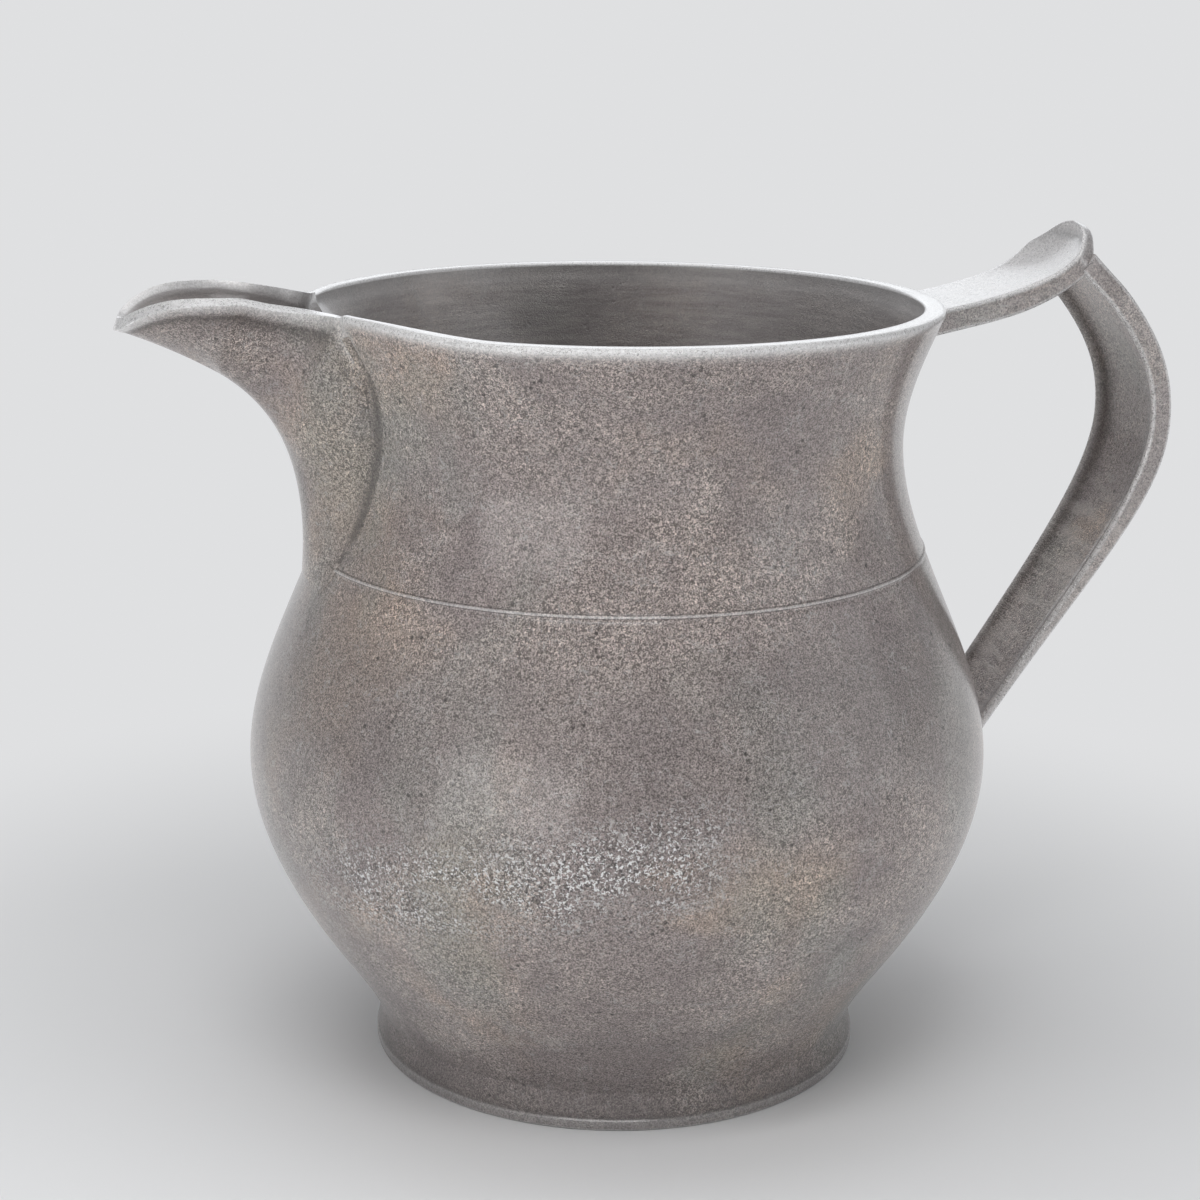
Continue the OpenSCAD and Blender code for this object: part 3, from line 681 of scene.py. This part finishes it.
def arm_dish(t):
    return THUMB_DISH * ramp(t, 0.35, 0.85) * (1 - ramp(t, 0.9, 1))


def arm_section(t):
    n = normal_of(arm_mid, t)
    return strap_section(arm_mid(t) + n * (arm_top(t) - arm_t(t) / 2), n, arm_w(t), arm_t(t), arm_dish(t))


thumb_stops = [THUMB_FROM + (1 - THUMB_FROM) * sin(a) for a in even(0, pi / 2, 36)[1:]]
bm = lofted([arm_section(t) for t in [-0.06] + even(0, THUMB_FROM, 44) + thumb_stops])
# Its top and thumb rest get rub and a painted highlight
arm = finish_piece("arm_and_thumb_rest", bm, ["handle_arm"], top_light_and_rub=0.85, lit_and_rubbed_from=THUMB_SIDE)

# %% [markdown]
# The grip starts under the thumb rest, swings out and runs straight down to the belly, where it ends
# narrow and thin. Its inner face is hollowed almost to the edges. The strap is first made too long at the
# top and then cut off inside the arm, because a cut fits better than a strap that just ends there.

# %% Grip
GRIP_AT, GRIP_REACH, GRIP_Z, GRIP_FOOT_Z, GRIP_SLOPE = 0.8, 111.6, 125.0, 57.7, 56
GRIP_W, GRIP_FOOT_W, GRIP_TOP_TAPER, GRIP_T, GRIP_FOOT_T = 28.4, 20.7, 0.12, 4.5, 2.2
GRIP_DISH, GRIP_HOLLOW, GRIP_SEAT, GRIP_SINK = 0.5, 6, 0.2, 1.1
grip_start = arm_mid(GRIP_AT)
grip_out = Vector((GRIP_REACH, 0, GRIP_Z))
grip_land = Vector((outer_r(GRIP_FOOT_Z) - GRIP_SINK, 0, GRIP_FOOT_Z))
grip_dir = Vector((cos(radians(GRIP_SLOPE)), 0, sin(radians(GRIP_SLOPE))))
grip_upper = [grip_start, grip_start + Vector((15.4, 0, -15.2)), grip_out + Vector((0, 0, 9.8)), grip_out]
grip_lower = [grip_out, grip_out - Vector((0, 0, 16)), grip_land + grip_dir * 41, grip_land]


def grip_mid(t):
    if t <= 1:
        return cubic(grip_upper, t)
    return cubic(grip_lower, t - 1) if t <= 2 else grip_land - grip_dir * (t - 2) * 20


def grip_section(t):
    at = grip_mid(t)
    share = min(1, (grip_start.z - at.z) / (grip_start.z - GRIP_FOOT_Z))
    w = (GRIP_W + (GRIP_FOOT_W - GRIP_W) * share) * (1 - GRIP_TOP_TAPER * (1 - ramp(t, 0.03, 0.2)))
    thick = GRIP_T + (GRIP_FOOT_T - GRIP_T) * ramp(t, 1.1, 1.9)
    return strap_section(at, -normal_of(grip_mid, t), w, thick, GRIP_DISH * thick, GRIP_HOLLOW)


bm = lofted([grip_section(t) for t in even(0, 1, 36) + even(1, 2, 46)[1:] + [2.06]])
arm_up = normal_of(arm_mid, GRIP_AT)
seat = grip_start - arm_up * arm_t(GRIP_AT) * GRIP_SEAT
bmesh.ops.bisect_plane(bm, geom=bm.verts[:] + bm.edges[:] + bm.faces[:], plane_co=seat * MM,
                       plane_no=arm_up, clear_outer=True)
bmesh.ops.contextual_create(bm, geom=[e for e in bm.edges if e.is_boundary])
bmesh.ops.recalc_face_normals(bm, faces=bm.faces)
grip = finish_piece("grip", bm, ["handle_grip"])

# %% [markdown]
# The arm flows into the neck over a small fillet of solder all round it. Each point of the arm's section
# gets a short curve from the neck to the arm, and the curves are joined into one closed strip.

# %% Fillet of solder round the arm's root
ARM_FILLET, ARM_FILLET_STEPS, ARM_FILLET_PULL = 2.6, 8, 0.65
NECK_SINK, ARM_SINK = 0.05, 0.04


def on_neck(y, h, sink):
    z = min(arm_start.z + h, RIM_EDGE_Z)
    x = sqrt((outer_r(z) - sink) ** 2 - y * y)
    return Vector((x, y, arm_start.z + h + arm_lean.z / arm_lean.x * (x - arm_start.x)))


root_middle = arm_start + Vector((0, 0, arm_top(0) - arm_t(0) / 2))
root_ring = [(p.y, p.z - arm_start.z) for p in strap_section(root_middle, UPWARDS, arm_w(0), arm_t(0), 0)]
curves = []
count = len(root_ring)
for j in range(count + 1):
    (y, h), (ya, ha), (yb, hb) = (root_ring[(j + d) % count] for d in (0, 1, -1))
    out = Vector((hb - ha, ya - yb)).normalized()
    corner = on_neck(y, h, 0)
    start = on_neck(y + ARM_FILLET * out.x, h + ARM_FILLET * out.y, NECK_SINK)
    start.z = min(start.z, RIM_EDGE_Z - 0.2)
    stop = on_neck(y, h, NECK_SINK) + arm_lean * ARM_FILLET - Vector((0, out.x, out.y)) * ARM_SINK
    start_pull, stop_pull = ((corner - spot) * ARM_FILLET_PULL for spot in (start, stop))
    points = [start, start + start_pull, stop + stop_pull, stop]
    curves.append([cubic(points, t) for t in even(0, 1, ARM_FILLET_STEPS)])
clean = [0.0] * (ARM_FILLET_STEPS + 1)
bm = strip(curves, [clean] * len(curves))
bmesh.ops.remove_doubles(bm, verts=bm.verts, dist=0.01 * MM)
bmesh.ops.recalc_face_normals(bm, faces=bm.faces)
# Its top gets rub and a painted highlight like the arm
arm_fillet = finish_piece("arm_fillet", bm, ["arm_solder"], joints=[(146, 160)], top_light_and_rub=0.85)

# %% [markdown]
# The finish is written as sums. A small class wraps a socket, so that adding or multiplying two of them
# adds the Math node that does it, and one method makes every other node. That keeps the recipe of the
# pewter readable: a base grey, large soft stains, fine grain, pits, scratches, wear with a painted
# highlight and grime with painted shade.

# %% Shader sums


class Wire:
    def __init__(self, finish, socket):
        self.finish, self.socket = finish, socket

    def sum(self, operation, a, b, clamp=False):
        node = self.finish.add("ShaderNodeMath", {"operation": operation, "use_clamp": clamp}, {0: a, 1: b})
        return Wire(self.finish, node.outputs[0])

    def __add__(self, other):
        return self.sum("ADD", self, other)

    def __radd__(self, other):
        return self.sum("ADD", other, self)

    def __sub__(self, other):
        return self.sum("SUBTRACT", self, other)

    def __rsub__(self, other):
        return self.sum("SUBTRACT", other, self)

    def __mul__(self, other):
        return self.sum("MULTIPLY", self, other)

    def __rmul__(self, other):
        return self.sum("MULTIPLY", other, self)

    def most(self, other):
        return self.sum("MAXIMUM", self, other)

    def size(self):
        return self.sum("ABSOLUTE", self, 0.0)

    def held(self):
        return self.sum("ADD", self, 0.0, True)

    def between(self, low, high):
        node = self.finish.add("ShaderNodeMapRange", {"interpolation_type": "SMOOTHSTEP"},
                               {"Value": self, "From Min": low, "From Max": high})
        return Wire(self.finish, node.outputs[0])


class Finish:
    def __init__(self, owner):
        self.owner = owner
        owner.use_nodes = True
        self.tree = owner.node_tree
        self.tree.nodes.clear()

    def add(self, kind, settings, sockets):
        node = self.tree.nodes.new(kind)
        for key, value in settings.items():
            setattr(node, key, value)
        for key, value in sockets.items():
            if isinstance(value, Wire):
                self.tree.links.new(value.socket, node.inputs[key])
            else:
                node.inputs[key].default_value = value
        return node

    def wire(self, kind, settings, sockets, out=0):
        return Wire(self, self.add(kind, settings, sockets).outputs[out])

    def mark(self, name):
        return self.wire("ShaderNodeAttribute", {"attribute_name": name}, {}, "Fac")

    def blend(self, share, a, b, how="MIX"):
        return self.wire("ShaderNodeMix", {"data_type": "RGBA", "blend_type": how}, {0: share, 6: a, 7: b}, 2)

    def noise(self, where, scale, detail=4.0, rough=0.6, bend=0.0):
        return self.wire("ShaderNodeTexNoise", {}, {"Vector": where, "Scale": scale, "Detail": detail,
                                                    "Roughness": rough, "Distortion": bend})

    def cells(self, where, scale):
        return self.wire("ShaderNodeTexVoronoi", {}, {"Vector": where, "Scale": scale, "Randomness": 1.0})

    def stretched(self, where, scale, turn=(0, 0, 0)):
        return self.wire("ShaderNodeMapping", {}, {"Vector": where, "Scale": scale, "Rotation": turn})


# %% [markdown]
# Use and age leave small marks on pewter: pinholes from the mould, thin scratches of three kinds and file
# marks across the grip. On one side of the belly there is also a sloping band of pale and dark specks.
# Each is a mask from 0 to 1 made of noise, and one function makes each mask. A scratch is the thin line
# where a stretched noise crosses its middle value.

# %% Masks of pits, scratches, file marks and specks
VIEW_TURN = radians(16.5)
BAND_Z, BAND_SLOPE, BAND_MIDDLE = 0.061, 0.2, -0.018


def pit_masks(f, where, blotch):
    here = f.noise(where, 150.0, 2.0, 0.5).between(0.50, 0.64)
    small = (1 - f.cells(where, 520.0).between(0.12, 0.26)) * here
    large = (1 - f.cells(where, 95.0).between(0.030, 0.055)) * blotch.between(0.46, 0.54)
    return small, large


def thin_line(noise, width):
    return 1 - (noise - 0.5).size().between(0.0, width)


def scratch_mask(f, where, cloud, blotch):
    slanting = f.noise(f.stretched(where, (40, 520, 520), (0.5, 0.3, 0.7)), 1.0, 2.0, 0.5)
    steep = f.noise(f.stretched(where, (480, 480, 36), (0.9, -0.4, 0.2)), 1.0, 2.0, 0.5)
    curl = f.noise(where, 260.0, 2.0, 0.5, 1.6)
    curls = thin_line(curl, 0.022) * f.noise(where, 190.0, 2.0, 0.5).between(0.50, 0.60)
    slants = thin_line(slanting, 0.012) * blotch.between(0.52, 0.62)
    return curls.most(slants).most(thin_line(steep, 0.010) * cloud.between(0.52, 0.64))


def file_mask(f, left_right, near_far, high):
    down_grip = (grip_dir.x * left_right + grip_dir.z * high) * 330
    along = f.wire("ShaderNodeCombineXYZ", {}, {"X": down_grip, "Y": near_far * 70})
    return f.noise(along, 1.0, 2.0, 0.55).between(0.40, 0.64) * (1 - high.between(0.098, 0.118))


def speck_masks(f, where, left_right, near_far, high):
    across = cos(VIEW_TURN) * left_right - sin(VIEW_TURN) * near_far
    depth = sin(VIEW_TURN) * left_right + cos(VIEW_TURN) * near_far
    from_line = (high - BAND_SLOPE * across - BAND_Z).size()
    from_middle = (across - BAND_MIDDLE).size()
    band = (1 - from_line.between(0.003, 0.014)) * (1 - from_middle.between(0.026, 0.046))
    crowd = f.noise(f.stretched(where, (1, 1, 1.6)), 80.0, 3.0, 0.65).between(0.30, 0.52)
    here = band * (1 - depth.between(-0.045, -0.015)) * crowd
    pale = f.noise(where, 1800.0, 1.5, 0.6, 0.8).between(0.56, 0.60)
    dark = f.noise(f.stretched(where, (1.1, 1.1, 0.9)), 1500.0, 1.5, 0.6, 0.8).between(0.56, 0.61)
    return pale * here, dark * here


# %% [markdown]
# Old pewter is a warm grey with a soft metal gloss. Up close its cast skin is finely wrinkled, more in some
# patches than in others, with stains of tan, green and rose. A band of painted dark reflection lies on the
# upper belly, where the grain is also smoother. The colours are laid one over the other, from the grey of
# the metal up to the grime with its painted shade and the rubbed edges with their painted highlight, and
# the same wrinkles also feed the roughness and a small bump. Castings, handle and solder differ only in
# tone, specks and the painted dark reflection, polish, wear and file marks, so one function makes all three.

# %% Pewter and solder
DARK_GREY, LIGHT_GREY = (0.300, 0.256, 0.248), (0.445, 0.386, 0.358)
TAN, GREEN, ROSE = (0.520, 0.405, 0.322), (0.318, 0.328, 0.298), (0.53, 0.495, 0.475)
DARK_REFLECTION, PIT, SCRATCH = (0.250, 0.222, 0.214), (0.035, 0.031, 0.03), (0.62, 0.60, 0.59)
PALE_SPECK, FILED = (0.92, 0.92, 0.92), (0.66, 0.60, 0.57)
INSIDE_DARK, INSIDE_LIGHT, INSIDE_RIM = (0.335, 0.312, 0.306), (0.470, 0.440, 0.428), (0.42, 0.41, 0.41)
DARKER_AT_FOOT, DIRT_AND_SHADE, RUB_AND_HIGHLIGHT = (0.085, 0.08, 0.078), (0.085, 0.075, 0.07), (0.90, 0.895, 0.895)


def paint(colour, tone=1.0):
    return tuple(c * tone for c in colour) + (1,)


def pewter_finish(name, tone, specks, polish, highlight_and_rub, filed):
    f = Finish(bpy.data.materials.new(name))
    where = f.wire("ShaderNodeTexCoord", {}, {}, "Object")
    apart = f.add("ShaderNodeSeparateXYZ", {}, {0: where})
    left_right, near_far, high = (Wire(f, socket) for socket in apart.outputs)
    wear_and_highlight, grime_and_shade, inside = f.mark("wear_and_highlight"), f.mark("grime_and_shade"), f.mark("inside")

    cloud = f.noise(where, 38.0, 5.0, 0.62, 0.6)
    blotch = f.noise(where, 110.0, 4.0, 0.65, 0.8)
    stain = f.noise(where, 27.0, 3.0, 0.5, 0.3)
    green = f.noise(f.stretched(where, (1, 1, 0.6)), 33.0, 3.0, 0.55)
    # A band round the upper belly gets a painted dark reflection, only where specks are; the grain is
    # smoother there too
    dark_reflection_band = high.between(0.062, 0.078) * (1 - high.between(0.090, 0.102)) * specks
    patch = cloud.between(0.34, 0.64) * (1 - 0.6 * dark_reflection_band)
    fine = f.noise(where, 3400.0, 1.0, 0.5, 0.3)
    wrinkle = f.noise(where, 1900.0, 1.5, 0.5, 1.5)
    grain = (wrinkle - 0.5) * (1.8 + 3.4 * patch) + (fine - 0.5) * 2.6
    pits, big_pits = pit_masks(f, where, blotch)
    scratches = scratch_mask(f, where, cloud, blotch) * (1 - inside)
    file_marks = file_mask(f, left_right, near_far, high) * filed
    pale_specks, dark_specks = (mask * specks for mask in speck_masks(f, where, left_right, near_far, high))
    in_reach = 0.45 + 0.55 * high.between(0.002, 0.012)
    # Share of rub and painted highlight, less towards the foot
    rub_and_highlight = wear_and_highlight * (0.70 + 0.30 * wrinkle.between(0.38, 0.62)) * in_reach * highlight_and_rub

    base = f.blend(cloud.between(0.32, 0.70), paint(DARK_GREY, tone), paint(LIGHT_GREY, tone))
    base = f.blend(stain.between(0.52, 0.70) * 0.6, base, paint(TAN, tone))
    base = f.blend(green.between(0.52, 0.70) * 0.5, base, paint(GREEN, tone))
    base = f.blend(blotch.between(0.56, 0.70) * 0.3, base, paint(ROSE, tone))
    # Painted dark reflection on the upper belly
    base = f.blend(dark_reflection_band * 0.5, base, paint(DARK_REFLECTION))
    base = f.blend(1.0, base, (grain + 0.96).most(0.45), "MULTIPLY")
    base = f.blend(pits.most(big_pits).most(dark_specks) * 0.7 * (1 - inside * 0.6), base, paint(PIT))
    base = f.blend(scratches * 0.5, base, paint(SCRATCH))
    base = f.blend(pale_specks * 0.95, base, paint(PALE_SPECK))
    streak = f.noise(f.stretched(where, (90, 90, 900)), 1.0, 4.0, 0.65)
    within = f.blend(streak.between(0.35, 0.68), paint(INSIDE_DARK), paint(INSIDE_LIGHT))
    within = f.blend(blotch.between(0.50, 0.66) * high.between(0.130, 0.150) * 0.5, within, paint(INSIDE_RIM))
    base = f.blend(inside * 0.75, base, within)
    base = f.blend(file_marks * 0.5, base, paint(FILED))
    # Darker towards the bottom, below about 16 mm
    base = f.blend((1 - high.between(0.002, 0.016)) * 0.5, base, paint(DARKER_AT_FOOT))
    # Grime and painted shade in the hollows, under the spout's lip and down the spout's fillet
    base = f.blend(grime_and_shade * 0.68, base, paint(DIRT_AND_SHADE))
    # Rubbed edges, with a painted highlight on the tops and the lips
    base = f.blend(rub_and_highlight * 0.97, base, paint(RUB_AND_HIGHLIGHT))

    rough = 0.42 + 0.35 * (wrinkle - 0.5) + 0.10 * grime_and_shade - 0.14 * rub_and_highlight + 0.08 * pale_specks - polish
    raised = ((fine - 0.5) * 0.8 + (wrinkle - 0.5) * (0.6 + 1.8 * patch) + blotch * 0.6 + cloud * 0.4
              + pale_specks * 0.6 + file_marks * 0.7)
    sunk = pits * 0.9 + big_pits * 1.2 + dark_specks * 0.8 + scratches * 0.25
    smooth = 1 - 0.6 * inside - 0.45 * wear_and_highlight
    height = (raised - sunk) * smooth
    bump = f.wire("ShaderNodeBump", {}, {"Strength": 0.6, "Distance": 0.0004, "Height": height})
    shader = f.wire("ShaderNodeBsdfPrincipled", {}, {
        "Base Color": base, "Roughness": rough.held(), "Metallic": 0.72 - 0.45 * rub_and_highlight, "Coat Weight": 0.9,
        "Coat Roughness": 0.16, "Coat IOR": 1.5, "Normal": bump})
    f.add("ShaderNodeOutputMaterial", {}, {"Surface": shader})
    print(name, "nodes:", len(f.tree.nodes))
    return f.owner


pewter = pewter_finish("cast_pewter", tone=1.0, specks=1.0, polish=0.0, highlight_and_rub=1.0, filed=0.0)
handle_pewter = pewter_finish("handled_pewter", tone=0.98, specks=0.0, polish=0.03, highlight_and_rub=0.9, filed=1.0)
solder = pewter_finish("soft_solder", tone=1.0, specks=0.0, polish=0.02, highlight_and_rub=0.42, filed=0.0)

# %% [markdown]
# Every piece now gets its finish. The fillet at the arm is filed and rubbed like the arm itself, so it
# takes the handle's finish. The floor disc and the two fillets at the base are plain solids that hardly
# show, so they keep their shape and only take a material.

# %% Give every piece its finish


def dress(thing, material):
    thing.data.materials.clear()
    thing.data.materials.append(material)


for thing in (bowl, neck, spout, foot):
    dress(thing, pewter)
for thing in (arm, arm_fillet, grip):
    dress(thing, handle_pewter)
for thing in (seam, spout_fillet):
    dress(thing, solder)
dress(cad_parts["bottom_disc"], pewter)
for name in ("bottom_solder", "foot_solder"):
    dress(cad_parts[name], solder)
print("finishes in the scene:", sorted(material.name for material in bpy.data.materials if material.users))

# %% [markdown]
# The studio stands on one wide pale floor. The lamps light only the floor near the pitcher, so the floor
# further off would fall into grey. There the camera and the metal's reflections see an even pale colour in
# place of the lit floor. It lights nothing else, and the shadow round the foot stays.

# %% Floor
FLOOR_HALF = 30
bm = bmesh.new()
bmesh.ops.create_grid(bm, x_segments=1, y_segments=1, size=FLOOR_HALF)
floor = as_object("floor", bm)
f = Finish(bpy.data.materials.new("pale_floor"))
where = f.wire("ShaderNodeTexCoord", {}, {}, "Object")
tint = f.blend(f.noise(where, 3.0, 2.0, 0.5), (0.76, 0.765, 0.77, 1), (0.79, 0.795, 0.80, 1))
lit = f.wire("ShaderNodeBsdfPrincipled", {}, {"Base Color": tint, "Roughness": 0.8})
pale = f.wire("ShaderNodeEmission", {}, {"Color": (0.74, 0.745, 0.755, 1), "Strength": 1.0})
far_off = f.wire("ShaderNodeVectorMath", {"operation": "LENGTH"}, {0: where}, "Value")
path = f.add("ShaderNodeLightPath", {}, {})
by_camera, by_metal = (Wire(f, path.outputs[ray]) for ray in ("Is Camera Ray", "Is Glossy Ray"))
seen = (far_off.between(0.06, 0.25) * by_camera).most(far_off.between(0.07, 0.22) * by_metal)
mixed = f.wire("ShaderNodeMixShader", {}, {0: seen, 1: lit, 2: pale})
f.add("ShaderNodeOutputMaterial", {}, {"Surface": mixed})
dress(floor, f.owner)
print("floor, metres across:", [round(d, 1) for d in floor.dimensions])

# %% [markdown]
# Metal shows the room around it. The room is a plain grey, and darker where the viewer stands, so the
# middle of the belly reflects something dark and its sides something light, as rounded metal does.

# %% Room
TO_VIEWER = (-0.20, -0.96, 0.20)
world = bpy.data.worlds.new("studio")
bpy.context.scene.world = world
w = Finish(world)
looking = w.wire("ShaderNodeTexCoord", {}, {}, "Generated")
facing = w.wire("ShaderNodeVectorMath", {"operation": "DOT_PRODUCT"}, {0: looking, 1: TO_VIEWER}, "Value")
room = w.blend(facing.between(0.55, 0.97), (0.42, 0.425, 0.435, 1), (0.10, 0.10, 0.10, 1))
sky = w.wire("ShaderNodeBackground", {}, {"Color": room, "Strength": 1.0})
w.add("ShaderNodeOutputWorld", {}, {"Surface": sky})
print("nodes of the room:", len(w.tree.nodes))

# %% [markdown]
# Small lamps would put hard spots on the metal, so all five lamps are wide and soft. The left one models
# the belly, the weaker right one fills, the back one and the top one draw the rim and the thumb rest, and a
# wash from above keeps the floor in front of the pitcher as pale as the rest.

# %% Lamps


def lamp(name, place, aim, size, power, colour, spread=180):
    light = bpy.data.lights.new(name, "AREA")
    light.shape = "RECTANGLE"
    light.size, light.size_y = size
    light.energy = power
    light.color = colour
    light.spread = radians(spread)
    thing = bpy.data.objects.new(name, light)
    thing.location = place
    thing.rotation_euler = (Vector(aim) - Vector(place)).to_track_quat("-Z", "Y").to_euler()
    bpy.context.scene.collection.objects.link(thing)
    print(name, "of", power, "watts at", place)


lamp("left_softbox", (-0.82, -0.72, 0.14), (0, 0, 0.10), (0.8, 0.6), 2.9, (1.0, 0.99, 0.98))
lamp("right_softbox", (0.90, -0.60, 0.20), (0, 0, 0.08), (0.9, 0.7), 1.4, (0.98, 0.99, 1.0))
lamp("back_softbox", (0.35, 1.1, 0.50), (0, 0, 0.12), (1.1, 0.5), 1.7, (0.94, 0.97, 1.0))
lamp("floor_wash", (-0.32, -0.48, 0.55), (-0.32, -0.48, 0), (0.7, 0.5), 3.0, (1, 1, 1), 90)
lamp("top_softbox", (0.0, 0.2, 1.0), (0, 0, 0.1), (0.8, 0.8), 2.0, (1, 1, 1))

# %% [markdown]
# The camera looks down on the pitcher from a little above the rim, turned somewhat towards the spout's
# side, so that the trough, the opening and the whole handle show. It is built from its own three
# directions: ahead, right and up, first for a camera straight in front, then turned about the axis.

# %% Camera
PITCH, YAW, ROLL = radians(14.82), radians(-0.44), radians(0.47)
CAMERA_BACK, CAMERA_UP, SENSOR, LENS = 0.472, 0.2165, 36, 73.11
ahead = Vector((sin(YAW) * cos(PITCH), cos(YAW) * cos(PITCH), -sin(PITCH)))
level = Vector((cos(YAW), -sin(YAW), 0))
upright = level.cross(ahead)
right = level * cos(ROLL) + upright * sin(ROLL)
up = upright * cos(ROLL) - level * sin(ROLL)
spin = Matrix.Rotation(-VIEW_TURN, 3, "Z")
place, ahead, right, up = (spin @ v for v in (Vector((0, -CAMERA_BACK, CAMERA_UP)), ahead, right, up))
lens = bpy.data.cameras.new("camera")
lens.sensor_width = SENSOR
lens.lens = LENS
camera = bpy.data.objects.new("camera", lens)
camera.matrix_world = Matrix((
    (right.x, up.x, -ahead.x, place.x), (right.y, up.y, -ahead.y, place.y),
    (right.z, up.z, -ahead.z, place.z), (0, 0, 0, 1)))
bpy.context.scene.collection.objects.link(camera)
bpy.context.scene.camera = camera
bpy.context.scene.view_settings.view_transform = "Standard"
print("camera at mm:", [round(c * 1000) for c in place])
